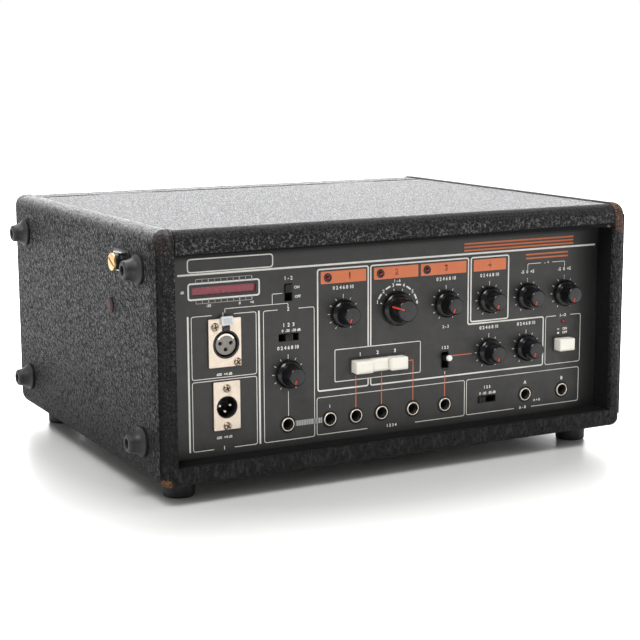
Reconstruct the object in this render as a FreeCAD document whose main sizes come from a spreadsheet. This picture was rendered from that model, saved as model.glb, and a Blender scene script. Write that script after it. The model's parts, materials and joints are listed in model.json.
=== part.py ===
"""Tape echo unit: a cloth-covered wooden case with a recessed control panel and a tape deck under its lid.

Frame: millimetres, +X to the right seen from the front, the front faces -Y, +Z up.
The origin lies on the floor under the middle of the case. Places on the panel are given by
their distance from the case's middle (x) and from its underside, without the feet (z).
"""
import FreeCAD, Part
import math
import os
import re

import Sketcher
from FreeCAD import Rotation, Vector

SIZES = {
    # case
    "case_width": 400.0,
    "case_depth": 326.0,
    "case_height": 180.5,
    "side_board": 12.8,
    "floor_board": 13.8,
    "lid_board": 12.8,
    "edge_round": 8.5,
    "corner_round": 10.0,
    "rail_round": 5.0,
    "lid_drop": 1.0,
    "lid_gap": 0.6,
    "lip_drop": 17.5,
    "lip_depth": 18.0,
    "rail_depth": 32.0,
    "pilot_radius": 2.0,
    "overlap": 1.0,
    "dome_share": 0.6,
    # feet and case screws
    "foot_height": 14.6,
    "foot_radius": 11.9,
    "foot_tip_radius": 11.0,
    "foot_inset_x": 26.5,
    "foot_inset_y": 33.5,
    "foot_recess_radius": 4.5,
    "foot_seat": 8.0,
    "foot_bevel": 1.0,
    "side_foot_height": 12.5,
    "side_foot_radius": 10.75,
    "side_foot_tip": 6.75,
    "side_foot_recess": 3.5,
    "side_foot_seat": 5.5,
    "side_foot_inset_y": 34.0,
    "side_foot_inset_low": 27.7,
    "side_foot_inset_high": 30.0,
    "screw_head_radius": 3.2,
    "screw_head_high": 2.4,
    "screw_radius": 1.9,
    "screw_length": 14.5,
    "bolt_y": 91.0,
    "bolt_drop": 63.0,
    "bolt_head_radius": 5.8,
    "bolt_head_high": 1.8,
    # lid lock on the left side
    "lock_y": 60.0,
    "lock_drop": 27.0,
    "lock_plate_front": 10.0,
    "lock_plate_back": 20.0,
    "lock_plate_high": 16.0,
    "lock_plate_thick": 1.2,
    "lock_barrel_radius": 5.75,
    "lock_barrel_long": 9.0,
    "lock_head_radius": 6.3,
    "lock_head_high": 1.6,
    "lock_slot": 1.2,
    "lock_shaft_radius": 2.9,
    "lock_cam_long": 9.5,
    "lock_cam_thick": 2.5,
    "lock_cam_wide": 6.0,
    # lid hinges
    "hinge_radius": 3.0,
    "hinge_gap": 0.2,
    "hinge_pin_radius": 1.5,
    "hinge_long": 50.0,
    "hinge_at_x": 110.0,
    "knuckle_gap": 0.4,
    "leaf_thick": 1.2,
    "leaf_high": 9.0,
    # strap handle on the right side
    "strap_thick": 3.5,
    "strap_wide": 26.0,
    "strap_stand": 9.0,
    "strap_lift": 1.5,
    "strap_bend_y": 64.0,
    "strap_flat_y": 80.0,
    "strap_end_y": 104.0,
    "strap_play": 3.0,
    "strap_clear": 1.0,
    "cap_high": 9.0,
    "cap_wall": 2.5,
    "cap_start_y": 84.0,
    "cap_end_y": 122.0,
    "cap_screw_z": 9.0,
    # panels
    "panel_recess": 21.0,
    "panel_thick": 2.0,
    "rear_recess": 16.5,
    "rear_thick": 1.5,
    "panel_gap": 0.2,
    "vent_long": 60.0,
    "vent_high": 3.0,
    "vent_pitch": 8.0,
    "vent_count": 6,
    "vent_x": 80.0,
    "vent_z": 120.0,
    # controls on the panel, laid out across half of its width
    "layout_half": 187.2,
    "top_row_z": 108.9,
    "low_row_z": 68.0,
    "input_volume_x": -91.2,
    "chorus_x": -45.5,
    "mode_x": 0.5,
    "echo_volume_x": 43.9,
    "reverb_x": 83.6,
    "bass_x": 119.4,
    "treble_x": 154.9,
    "repeat_x": 118.8,
    "knob_skirt_radius": 10.5,
    "knob_cap_radius": 6.35,
    "knob_waist_radius": 8.0,
    "knob_high": 15.5,
    "knob_skirt_high": 4.6,
    "mode_skirt_radius": 13.0,
    "mode_cap_radius": 8.0,
    "mode_waist_radius": 10.2,
    "mode_high": 16.5,
    "knob_lift": 0.6,
    "knob_bevel": 1.6,
    "knob_top_wall": 3.0,
    "knob_hollow_radius": 6.4,
    "knob_hollow": 5.6,
    "pointer_wide": 1.2,
    "pointer_long": 4.2,
    "pointer_deep": 0.4,
    "shaft_radius": 3.0,
    "shaft_fit": 0.05,
    "pot_radius": 9.5,
    "pot_deep": 11.0,
    "pot_floor": 2.0,
    "bushing_radius": 3.5,
    "bushing_high": 4.0,
    "bushing_fit": 0.1,
    "nut_radius": 5.2,
    "nut_high": 2.0,
    "lug_wide": 12.0,
    "lug_long": 6.0,
    "lug_thick": 1.2,
    "wafer_radius": 14.0,
    "wafer_deep": 20.0,
    # push buttons
    "button_wide": 14.6,
    "button_high": 9.7,
    "button_pitch": 15.0,
    "button_out": 8.5,
    "button_latched": 3.5,
    "button_deep": 14.0,
    "button_round": 0.8,
    "button_gap": 0.5,
    "effect_x": -16.2,
    "power_x": 154.0,
    "stem_wide": 5.0,
    "stem_high": 3.0,
    "stem_long": 22.0,
    "stem_fit": 0.1,
    "bank_wall": 2.0,
    "bank_cavity": 12.0,
    "bank_back": 1.0,
    # toggle
    "toggle_x": 43.4,
    "toggle_z": 65.2,
    "toggle_slot_wide": 7.0,
    "toggle_slot_high": 13.0,
    "toggle_tilt": 9.0,
    "toggle_pivot": 7.0,
    "toggle_reach": 17.0,
    "toggle_root_radius": 1.3,
    "toggle_tip_radius": 2.4,
    "toggle_neck_radius": 1.9,
    "toggle_pin_radius": 1.0,
    "toggle_pin_fit": 0.05,
    "toggle_pin_end": 1.0,
    "toggle_cavity": 10.0,
    "switch_wall": 2.4,
    # slide switches
    "direct_x": -90.6,
    "direct_z": 127.8,
    "direct_slot_wide": 6.4,
    "direct_slot_high": 12.7,
    "level_x": -90.6,
    "level_z": 94.9,
    "out_level_x": 82.6,
    "jack_row_z": 30.3,
    "level_slot_wide": 16.5,
    "level_slot_high": 5.6,
    "slider_long": 6.0,
    "slider_gap": 0.3,
    "slider_out": 1.5,
    "slider_deep": 8.4,
    "slide_body_deep": 12.0,
    # XLR connectors
    "xlr_x": -140.9,
    "xlr_plate": 1.7,
    "xlr_in_z": 94.5,
    "xlr_in_wide": 25.1,
    "xlr_in_low": 78.3,
    "xlr_in_top": 113.4,
    "xlr_in_left": 13.6,
    "xlr_ring_radius": 10.3,
    "xlr_body_radius": 11.7,
    "xlr_in_deep": 22.0,
    "xlr_bore_deep": 14.0,
    "xlr_insert_radius": 7.8,
    "xlr_insert_set": 1.0,
    "pin_hole_radius": 1.5,
    "pin_spread": 4.15,
    "pin_rise": 0.6,
    "pin_drop": 3.9,
    "xlr_out_z": 48.9,
    "xlr_out_wide": 20.8,
    "xlr_out_low": 32.4,
    "xlr_out_top": 67.8,
    "xlr_out_radius": 8.15,
    "xlr_out_body": 9.4,
    "xlr_out_deep": 20.0,
    "pin_radius": 1.2,
    "pin_long": 12.0,
    "pin_tail": 6.0,
    "pin_fit": 0.05,
    "notch_wide": 5.8,
    "latch_wide": 9.2,
    "latch_low": 108.6,
    "latch_top": 115.0,
    "latch_out": 3.0,
    "latch_gap": 0.3,
    "latch_thick": 1.0,
    "latch_travel": 1.5,
    "latch_stem_low": 103.0,
    "latch_stem_deep": 6.0,
    "head_radius": 3.0,
    "head_high": 1.5,
    "thread_radius": 1.4,
    "thread_long": 8.0,
    "in_screw_dx": 8.6,
    "in_screw_dz": 13.2,
    "out_screw_dz": 13.8,
    # jack sockets
    "jack_in_x": -91.9,
    "effects_jack_x": -57.0,
    "echo_jack_x": -34.9,
    "mode_jack_x": -12.8,
    "sound_jack_x": 14.6,
    "jack_out_x": 118.7,
    "jack_out_pitch": 35.6,
    "jack_hole_radius": 6.0,
    "jack_sleeve_radius": 5.0,
    "jack_bore_radius": 3.3,
    "jack_proud": 0.6,
    "jack_bore_deep": 26.0,
    "jack_body": 15.0,
    "jack_body_deep": 27.0,
    # level meter and lamps
    "meter_x": -141.3,
    "meter_z": 133.65,
    "meter_wide": 51.8,
    "meter_high": 8.3,
    "meter_set": 1.4,
    "meter_pane": 1.6,
    "meter_rim": 3.0,
    "meter_deep": 18.0,
    "lamp_z": 136.1,
    "chorus_lamp_x": -58.3,
    "echo_lamp_x": -13.8,
    "sound_lamp_x": 26.8,
    "power_lamp_x": 154.5,
    "power_lamp_z": 86.3,
    "bezel_radius": 3.3,
    "bezel_high": 0.8,
    "bezel_tube": 2.4,
    "lamp_radius": 1.7,
    "lamp_deep": 5.0,
    # chassis and deck
    "steel": 1.5,
    "chassis_gap": 0.5,
    "wall_flange": 14.0,
    "front_flange": 8.0,
    "deck_z": 118.0,
    "deck_thick": 2.0,
    "deck_front_gap": 40.0,
    "deck_rear_gap": 7.0,
    # tape path
    "tape_y": -39.4,
    "tape_thick": 0.2,
    "tape_high": 6.3,
    "tape_rise": 8.0,
    "tape_inset_left": 47.2,
    "tape_inset_right": 67.2,
    "tape_rear_gap": 75.0,
    "tape_turn": 8.0,
    "tape_bend": 28.0,
    "path_gap": 0.3,
    "bin_inset_left": 22.2,
    "bin_inset_right": 42.2,
    "bin_front": 0.0,
    "bin_rear_gap": 25.0,
    "bin_high": 16.0,
    "bin_wall": 2.0,
    "bin_round": 20.0,
    "bin_slot": 8.0,
    "block_thick": 3.0,
    "block_inset_left": 35.2,
    "block_inset_right": 115.2,
    "block_front": -64.0,
    "block_back": -20.0,
    "head_wide": 13.0,
    "head_deep": 12.0,
    "head_tall": 13.0,
    "head_round": 3.0,
    "erase_x": -112.0,
    "record_x": -86.0,
    "play_x": -52.0,
    "play_pitch": 30.0,
    "guide_base": 10.0,
    "guide_rise": 14.0,
    # capstan drive
    "capstan_inset": 92.2,
    "capstan_radius": 3.0,
    "capstan_top": 22.0,
    "capstan_tail": 8.0,
    "bearing_radius": 5.0,
    "bearing_low": 34.0,
    "bearing_high": 3.0,
    "flywheel_radius": 38.0,
    "wheel_gap": 2.0,
    "flywheel_thick": 10.0,
    "hub_radius": 7.0,
    "pulley_radius": 8.0,
    "rim_edge": 1.0,
    "motor_x": 10.0,
    "motor_y": 30.0,
    "motor_radius": 29.0,
    "motor_tall": 50.0,
    "motor_shaft": 2.0,
    "motor_hole": 12.0,
    "belt_thick": 1.0,
    "belt_high": 6.0,
    "pinch_inset": 62.2,
    "pinch_y": -60.0,
    "pinch_arm": 31.4,
    "pinch_angle": 178.0,
    "pinch_post": 3.0,
    "pinch_hub": 6.0,
    "arm_thick": 3.0,
    "arm_lift": 1.0,
    "roller_radius": 11.0,
    "roller_high": 8.4,
    "roller_lift": 6.5,
    "roller_pin": 2.0,
    "roller_clear": 1.0,
    "coil_inset": 45.2,
    "coil_front_gap": 14.0,
    "coil_long": 30.0,
    "coil_wide": 22.0,
    "coil_high": 20.0,
    "plunger_radius": 3.0,
    "plunger_out": 7.0,
    # electronics
    "board_inset_left": 67.2,
    "board_inset_right": 17.2,
    "board_front_gap": 45.0,
    "board_rear_gap": 14.0,
    "board_lift": 9.0,
    "board_thick": 1.6,
    "post_radius": 3.0,
    "post_inset": 8.0,
    "chip_long": 20.0,
    "chip_wide": 8.0,
    "chip_high": 4.0,
    "chip_columns": 7,
    "chip_rows": 3,
    "core_inset": 17.2,
    "core_rear_gap": 28.0,
    "core_long": 60.0,
    "core_wide": 44.0,
    "core_high": 48.0,
    "winding_out": 8.0,
    "winding_inset": 8.0,
    "tank_inset_left": 107.2,
    "tank_inset_right": 22.2,
    "tank_rear_gap": 29.0,
    "tank_deep": 82.0,
    "tank_high": 33.0,
    "tank_spring_radius": 3.5,
    "tank_spring_count": 3,
    "tank_spring_pitch": 22.0,
    # mains inlet and fuse
    "inlet_x": 120.0,
    "inlet_z": 52.0,
    "inlet_flange_wide": 48.0,
    "inlet_flange_high": 28.0,
    "inlet_flange": 3.0,
    "inlet_wide": 31.0,
    "inlet_high": 23.0,
    "inlet_mouth_wide": 24.4,
    "inlet_mouth_high": 16.4,
    "inlet_deep": 20.0,
    "inlet_mouth_deep": 16.0,
    "blade_wide": 2.0,
    "blade_high": 4.0,
    "blade_long": 13.0,
    "blade_spread": 7.0,
    "blade_offset": 2.0,
    "fuse_x": 75.0,
    "fuse_radius": 6.0,
    "fuse_cap_radius": 8.0,
    "fuse_cap_high": 9.0,
    "fuse_cap_bevel": 1.0,
    "fuse_deep": 15.0,
}

# Turns of the pointers at rest, in degrees clockwise from straight up.
POINTERS = {
    "input_volume_knob": -161,
    "chorus_intensity_knob": -153,
    "echo_volume_knob": -152,
    "reverb_volume_knob": -152,
    "bass_knob": -153,
    "treble_knob": -168,
    "echo_intensity_knob": -172,
    "repeat_rate_knob": -154,
    "mode_knob": -72,
}

# Places that several pieces share, as rules on the sizes.
INNER = "(case_width / 2 - side_board)"
FRONT = "(-case_depth / 2)"
BACK = "(case_depth / 2)"
CASE_TOP = "(foot_height + case_height)"
FLOOR = "(foot_height + floor_board)"
LID_TOP = f"({CASE_TOP} - lid_drop)"
LID_UNDER = f"({LID_TOP} - lid_board)"
FACE = f"({FRONT} + panel_recess)"
BEHIND = f"({FACE} + panel_thick)"
REAR_FACE = f"({BACK} - rear_recess)"
REAR_INSIDE = f"({REAR_FACE} - rear_thick)"
RAIL_FACE = f"({BACK} - rail_depth)"
HINGE_Y = f"({RAIL_FACE} - hinge_radius - hinge_gap)"
HINGE_Z = f"({LID_TOP} - hinge_radius)"
LID_BACK = f"({HINGE_Y} - hinge_radius - hinge_gap)"
HANDLE_Z = "(foot_height + case_height / 2)"
DECK_UNDER = "(foot_height + deck_z)"
DECK_TOP = f"({DECK_UNDER} + deck_thick)"
CAPSTAN_Y = "(tape_y + tape_thick / 2 + path_gap + capstan_radius)"
WHEEL_LOW = "(motor_tall + wheel_gap + flywheel_thick)"
FLYWHEEL_LOW = f"({DECK_UNDER} - {WHEEL_LOW})"
SIDE_FEET_Z = ("side_foot_inset_low", "(case_height - side_foot_inset_high)")
BOLT_Z = "(case_height - bolt_drop)"
LOCK_Z = "(case_height - lock_drop)"
DECK_FRONT = f"({BEHIND} + deck_front_gap)"
DECK_BACK = f"({REAR_INSIDE} - deck_rear_gap)"
BIN_LEFT = f"(-{INNER} + bin_inset_left)"
BIN_RIGHT = f"({INNER} - bin_inset_right)"
BIN_BACK = f"({REAR_INSIDE} - bin_rear_gap)"
TAPE_LEFT = f"(-{INNER} + tape_inset_left)"
TAPE_RIGHT = f"({INNER} - tape_inset_right)"
TAPE_BACK = f"({REAR_INSIDE} - tape_rear_gap)"
CAPSTAN_X = f"({INNER} - capstan_inset)"
PINCH_X = f"({INNER} - pinch_inset)"
COIL_X = f"({INNER} - coil_inset)"
COIL_Y = f"({DECK_FRONT} + coil_front_gap)"
TANK_LEFT = f"(-{INNER} + tank_inset_left)"
TANK_RIGHT = f"({INNER} - tank_inset_right)"
TANK_BACK = f"({REAR_INSIDE} - tank_rear_gap)"
TANK_FRONT = f"({TANK_BACK} - tank_deep)"
BOARD_LEFT = f"(-{INNER} + board_inset_left)"
BOARD_RIGHT = f"({INNER} - board_inset_right)"
BOARD_FRONT = f"({BEHIND} + board_front_gap)"
BOARD_BACK = f"({TANK_FRONT} - board_rear_gap)"
CORE_X = f"(-{INNER} + core_inset + core_long / 2)"
CORE_Y = f"({REAR_INSIDE} - core_rear_gap - core_wide / 2)"
GUIDE_RADIUS = "(tape_turn - tape_thick / 2 - path_gap)"


def spread(x):
    """A place across the panel, whose layout widens with the case."""
    return f"({x} * {INNER} / layout_half)"


MODE_X = spread("mode_x")
EFFECT_X = spread("effect_x")
POWER_X = spread("power_x")
POWER_LAMP_X = spread("power_lamp_x")
TOGGLE_X = spread("toggle_x")
DIRECT_X = spread("direct_x")
LEVEL_X = spread("level_x")
OUT_LEVEL_X = spread("out_level_x")
XLR_X = spread("xlr_x")
METER_X = spread("meter_x")

doc = FreeCAD.newDocument("tape_echo")
sheet = doc.addObject("Spreadsheet::Sheet", "Sizes")
for row, (alias, number) in enumerate(SIZES.items(), start=1):
    sheet.set(f"A{row}", alias.replace("_", " "))
    sheet.set(f"B{row}", str(number))
    sheet.setAlias(f"B{row}", alias)
doc.recompute()

nodes = {}

# How near two places are where they count as the same.
CLOSE = 0.01


# ---------------------------------------------------------------- rules on the sizes

def rule(text):
    """Write a rule on the sizes the way an expression names them."""
    return re.sub(
        r"[a-z][a-z_]+", lambda word: f"Sizes.{word[0]}" if word[0] in SIZES else word[0], str(text)
    )


def value(text):
    """What a rule comes to with the sizes as they are."""
    return float(sheet.evalExpression(rule(text)))


def bind(item, **rules):
    for prop, text in rules.items():
        item.setExpression(prop, rule(text))
    return item


def put(item, x="0", y="0", z="0"):
    """Place an item by rules on the sizes."""
    for axis, text in zip("xyz", (x, y, z)):
        item.setExpression(f"Placement.Base.{axis}", rule(text))
    return item


# Which way a turned piece's own +Z points once it is placed.
POINTING = {
    "up": Rotation(),
    "down": Rotation(Vector(1, 0, 0), 180),
    "front": Rotation(Vector(1, 0, 0), 90),
    "back": Rotation(Vector(1, 0, 0), -90),
    "left": Rotation(Vector(0, 1, 0), -90),
    "right": Rotation(Vector(0, 1, 0), 90),
}


def point(item, way):
    item.Placement = FreeCAD.Placement(item.Placement.Base, POINTING[way])
    return item


def node(name, item):
    """Make an item one of the unit's named sub-parts."""
    item.Label = name
    nodes[name] = item
    return item


# ---------------------------------------------------------------- Part primitives

def span(middle, length, clear="0"):
    """The low and high rules of a length about a middle, with a clearance at both ends."""
    half = f"(({length}) / 2 + {clear})"
    return f"{middle} - {half}", f"{middle} + {half}"


def box(name, x, y, z):
    """A block between a low and a high rule on each axis."""
    item = doc.addObject("Part::Box", name)
    bind(item, Length=f"({x[1]}) - ({x[0]})", Width=f"({y[1]}) - ({y[0]})", Height=f"({z[1]}) - ({z[0]})")
    return put(item, x[0], y[0], z[0])


def rod(name, way, x, y, z, radius, length):
    """A cylinder that starts at a place and runs one way."""
    item = doc.addObject("Part::Cylinder", name)
    bind(item, Radius=radius, Height=length)
    return put(point(item, way), x, y, z)


def ball(name, x, y, z, radius):
    item = doc.addObject("Part::Sphere", name)
    bind(item, Radius=radius)
    return put(item, x, y, z)


def fuse(name, *items):
    item = doc.addObject("Part::MultiFuse", name)
    item.Shapes = list(items)
    return item


def cut(name, base, *tools):
    item = doc.addObject("Part::Cut", name)
    item.Base = base
    item.Tool = tools[0] if len(tools) == 1 else fuse(f"{name}_tools", *tools)
    return item


def group(name, *items):
    """Separate solids that share one sub-part."""
    item = doc.addObject("Part::Compound", name)
    item.Links = list(items)
    return item


def placed(name, master, way, x, y, z):
    """One more piece of the same form, pointing one way at a place."""
    return put(point(group(name, master), way), x, y, z)


# ---------------------------------------------------------------- PartDesign bodies

def new_body(name):
    return doc.addObject("PartDesign::Body", name)


def sketch_on(body, plane, name):
    sketch = body.newObject("Sketcher::SketchObject", f"{name}_sketch")
    origin = next(item for item in body.Origin.OriginFeatures if item.Role == plane)
    sketch.AttachmentSupport = [(origin, "")]
    sketch.MapMode = "FlatFace"
    return sketch


def hold(sketch, line, end, x, y):
    """Hold one end of a line at a place that rules give."""
    for kind, text in (("DistanceX", x), ("DistanceY", y)):
        index = sketch.addConstraint(Sketcher.Constraint(kind, -1, 1, line, end, value(text)))
        sketch.setExpression(f"Constraints[{index}]", rule(text))


def outline(sketch, corners):
    """A closed outline of straight lines through corners given by rules."""
    first = sketch.GeometryCount
    points = [Vector(value(x), value(y), 0) for x, y in corners]
    for start, end in zip(points, points[1:] + points[:1]):
        sketch.addGeometry(Part.LineSegment(start, end))
    for step, (x, y) in enumerate(corners):
        following = first + (step + 1) % len(corners)
        sketch.addConstraint(Sketcher.Constraint("Coincident", first + step, 2, following, 1))
        hold(sketch, first + step, 1, x, y)


def rectangle(sketch, x, y, wide, high):
    """A rectangle about a centre."""
    left, right = f"{x} - ({wide}) / 2", f"{x} + ({wide}) / 2"
    low, top = f"{y} - ({high}) / 2", f"{y} + ({high}) / 2"
    outline(sketch, [(left, low), (right, low), (right, top), (left, top)])


def circle(sketch, x, y, radius):
    round_edge = sketch.addGeometry(
        Part.Circle(Vector(value(x), value(y), 0), Vector(0, 0, 1), value(radius))
    )
    hold(sketch, round_edge, 3, x, y)
    index = sketch.addConstraint(Sketcher.Constraint("Radius", round_edge, value(radius)))
    sketch.setExpression(f"Constraints[{index}]", rule(radius))


def pad(body, sketch, length, reverse=False):
    feature = body.newObject("PartDesign::Pad", f"{body.Name}_pad")
    feature.Profile = sketch
    feature.Reversed = reverse
    feature.setExpression("Length", rule(length))
    sketch.Visibility = False
    return feature


def pocket(body, sketch, depth=None, reverse=False):
    """Cut a sketch into a body, right through where no depth is given, and check that it cuts."""
    doc.recompute()
    before = body.Shape.Volume
    feature = body.newObject("PartDesign::Pocket", f"{body.Name}_pocket")
    feature.Profile = sketch
    feature.Reversed = reverse
    if depth is None:
        feature.Type = "ThroughAll"
    else:
        feature.setExpression("Length", rule(depth))
    doc.recompute()
    if not body.Shape.Volume < before:
        raise ValueError(f"{feature.Name} cuts nothing")
    return feature


def rounded(body, radius, chosen):
    """Fillet the edges of a body that a test picks."""
    doc.recompute()
    names = [f"Edge{n}" for n, edge in enumerate(body.Shape.Edges, start=1) if chosen(edge)]
    base = body.Tip
    feature = body.newObject("PartDesign::Fillet", f"{body.Name}_fillet")
    feature.Base = (base, names)
    feature.setExpression("Radius", rule(radius))
    return feature


def at(edge, **where):
    """Whether all of an edge lies at the places that are given for its axes."""
    bounds = edge.BoundBox
    return all(
        abs(getattr(bounds, f"{axis.upper()}{side}") - place) < CLOSE
        for axis, place in where.items()
        for side in ("Min", "Max")
    )


def along(edge, axis):
    """Whether an edge is straight and runs along one axis."""
    vector = edge.tangentAt(edge.FirstParameter)
    return isinstance(edge.Curve, Part.Line) and abs(getattr(vector, axis)) > 1 - CLOSE


def beyond(edge, y):
    """Whether an edge is upright and lies further back than a place."""
    return along(edge, "z") and edge.BoundBox.YMin > value(y) + CLOSE


def turned(name, profile, way="up", x="0", y="0", z="0"):
    """A lathe-turned body: its profile holds (radius, height) rules about its own +Z."""
    body = new_body(name)
    sketch = sketch_on(body, "XZ_Plane", name)
    outline(sketch, profile)
    feature = body.newObject("PartDesign::Revolution", f"{name}_turn")
    feature.Profile = sketch
    feature.ReferenceAxis = (sketch, ["V_Axis"])
    feature.Angle = 360
    return put(point(body, way), x, y, z)


def plate(name, x, y, z, thick, up="z"):
    """A plate padded from a rectangle: z is its low side, or y its near side where it stands up."""
    body = new_body(name)
    if up == "z":
        sketch = sketch_on(body, "XY_Plane", name)
        outline(sketch, [(x[0], y[0]), (x[1], y[0]), (x[1], y[1]), (x[0], y[1])])
        pad(body, sketch, thick)
        return put(body, z=z)
    sketch = sketch_on(body, "XZ_Plane", name)
    outline(sketch, [(x[0], z[0]), (x[1], z[0]), (x[1], z[1]), (x[0], z[1])])
    pad(body, sketch, thick, reverse=True)
    return put(body, y=y)


# ---------------------------------------------------------------- case

def side_panel(name, side):
    """A side board with its outer edges rounded, and pilot holes for what is screwed to it."""
    body = new_body(name)
    sketch = sketch_on(body, "YZ_Plane", name)
    outline(sketch, [(FRONT, "0"), (BACK, "0"), (BACK, "case_height"), (FRONT, "case_height")])
    pad(body, sketch, "side_board")
    front = value(FRONT)
    rounded(body, "corner_round", lambda edge: along(edge, "x") and not at(edge, y=front, z=0))
    outer, inner = (0, value("side_board")) if side < 0 else (value("side_board"), 0)
    rounded(body, "edge_round", lambda edge: at(edge, x=outer) and not at(edge, z=0))
    rounded(body, "rail_round", lambda edge: at(edge, z=0) and not at(edge, x=inner))
    holes = sketch_on(body, "YZ_Plane", f"{name}_holes")
    if side < 0:
        for y in (f"{FRONT} + side_foot_inset_y", f"{BACK} - side_foot_inset_y"):
            for z in SIDE_FEET_Z:
                circle(holes, y, z, "pilot_radius")
        circle(holes, f"{FRONT} + bolt_y", BOLT_Z, "pilot_radius")
        circle(holes, f"{FRONT} + lock_y", LOCK_Z, "lock_shaft_radius + shaft_fit")
    else:
        for y in (
            "(cap_start_y + cap_end_y) / 2 + cap_screw_z", "-(cap_start_y + cap_end_y) / 2 - cap_screw_z"
        ):
            for z in ("case_height / 2 - cap_screw_z", "case_height / 2 + cap_screw_z"):
                circle(holes, y, z, "pilot_radius")
    pocket(body, holes, reverse=True)
    left = "-case_width / 2" if side < 0 else INNER
    return node(name, put(body, x=left, z="foot_height"))


def bottom_board():
    """The floor of the case, whose front edge is the rail under the panel."""
    body = new_body("bottom_board")
    sketch = sketch_on(body, "YZ_Plane", "bottom_board")
    outline(sketch, [(FRONT, "0"), (BACK, "0"), (BACK, "floor_board"), (FRONT, "floor_board")])
    pad(body, sketch, f"2 * {INNER}")
    rounded(body, "rail_round", lambda edge: at(edge, y=value(FRONT), z=0))
    rounded(body, "corner_round", lambda edge: at(edge, y=value(BACK), z=0))
    holes = sketch_on(body, "XY_Plane", "bottom_board_holes")
    for x in ("foot_inset_x - side_board", f"2 * {INNER} - foot_inset_x + side_board"):
        for y in (f"{FRONT} + foot_inset_y", f"{BACK} - foot_inset_y"):
            circle(holes, x, y, "pilot_radius")
    pocket(body, holes, reverse=True)
    return node("bottom_board", put(body, x=f"-{INNER}", z="foot_height"))


def rear_rail():
    """The fixed strip behind the lid that carries its hinges."""
    body = new_body("rear_rail")
    sketch = sketch_on(body, "YZ_Plane", "rear_rail")
    outline(sketch, [(RAIL_FACE, LID_UNDER), (BACK, LID_UNDER), (BACK, LID_TOP), (RAIL_FACE, LID_TOP)])
    pad(body, sketch, f"2 * {INNER}")
    rounded(body, "edge_round", lambda edge: at(edge, y=value(BACK), z=value(LID_TOP)))
    return node("rear_rail", put(body, x=f"-{INNER}"))


def top_lid():
    """The lid between the side boards, with the lip that hangs down in front of the panel."""
    body = new_body("top_lid")
    sketch = sketch_on(body, "YZ_Plane", "top_lid")
    lip_back = f"{FRONT} + lip_depth"
    lip_low = f"{LID_TOP} - lip_drop"
    outline(sketch, [
        (FRONT, lip_low), (lip_back, lip_low), (lip_back, LID_UNDER),
        (LID_BACK, LID_UNDER), (LID_BACK, LID_TOP), (FRONT, LID_TOP),
    ])
    pad(body, sketch, f"2 * ({INNER} - lid_gap)")
    rounded(body, "edge_round", lambda edge: at(edge, y=value(FRONT), z=value(LID_TOP)))
    return node("top_lid", put(body, x=f"-{INNER} + lid_gap"))


def hinge_leaf(name, x, side, spans):
    """A leaf on the frame (side 1) or on the lid (side -1), with its knuckles over the given spans."""
    near, far = ("hinge_radius + hinge_gap - leaf_thick", "hinge_radius + hinge_gap")
    y = (f"{HINGE_Y} + {near}", f"{HINGE_Y} + {far}")
    if side < 0:
        y = (f"{HINGE_Y} - ({far})", f"{HINGE_Y} - ({near})")
    below = f"{HINGE_Z} - hinge_radius - hinge_gap"
    leaf = box(f"{name}_leaf", span(x, "hinge_long"), y, (f"{below} - leaf_high + hinge_radius", below))
    pieces = [leaf]
    for step, (start, length) in enumerate(spans):
        left = f"{x} - hinge_long / 2 + ({start})"
        web = box(f"{name}_web_{step}", (left, f"{left} + ({length})"), y, (below, HINGE_Z))
        knuckle = rod(f"{name}_knuckle_{step}", "right", left, HINGE_Y, HINGE_Z, "hinge_radius", length)
        pieces += [web, knuckle]
    return fuse(f"{name}_body", *pieces)


def hinges():
    """Two butt hinges sunk in the groove behind the lid: the pins stay in the frame's leaves."""
    third = "(hinge_long / 3)"
    frame_pieces, lid_pieces = [], []
    for tag, x in (("left", "-hinge_at_x"), ("right", "hinge_at_x")):
        start = f"{x} - hinge_long / 2"
        outer = [("0", f"{third} - knuckle_gap"), (f"2 * {third} + knuckle_gap", f"{third} - knuckle_gap")]
        frame_leaf = hinge_leaf(f"frame_hinge_{tag}", x, 1, outer)
        pin = rod(f"hinge_pin_{tag}", "right", start, HINGE_Y, HINGE_Z, "hinge_pin_radius", "hinge_long")
        frame_pieces.append(fuse(f"frame_hinge_{tag}_pinned", frame_leaf, pin))
        lid_leaf = hinge_leaf(f"lid_hinge_{tag}", x, -1, [(third, third)])
        bore = rod(
            f"lid_bore_{tag}",
            "right",
            start,
            HINGE_Y,
            HINGE_Z,
            "hinge_pin_radius + shaft_fit",
            "hinge_long",
        )
        lid_pieces.append(cut(f"lid_hinge_{tag}_bored", lid_leaf, bore))
    node("frame_hinges", group("frame_hinges", *frame_pieces))
    node("lid_hinges", group("lid_hinges", *lid_pieces))


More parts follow.
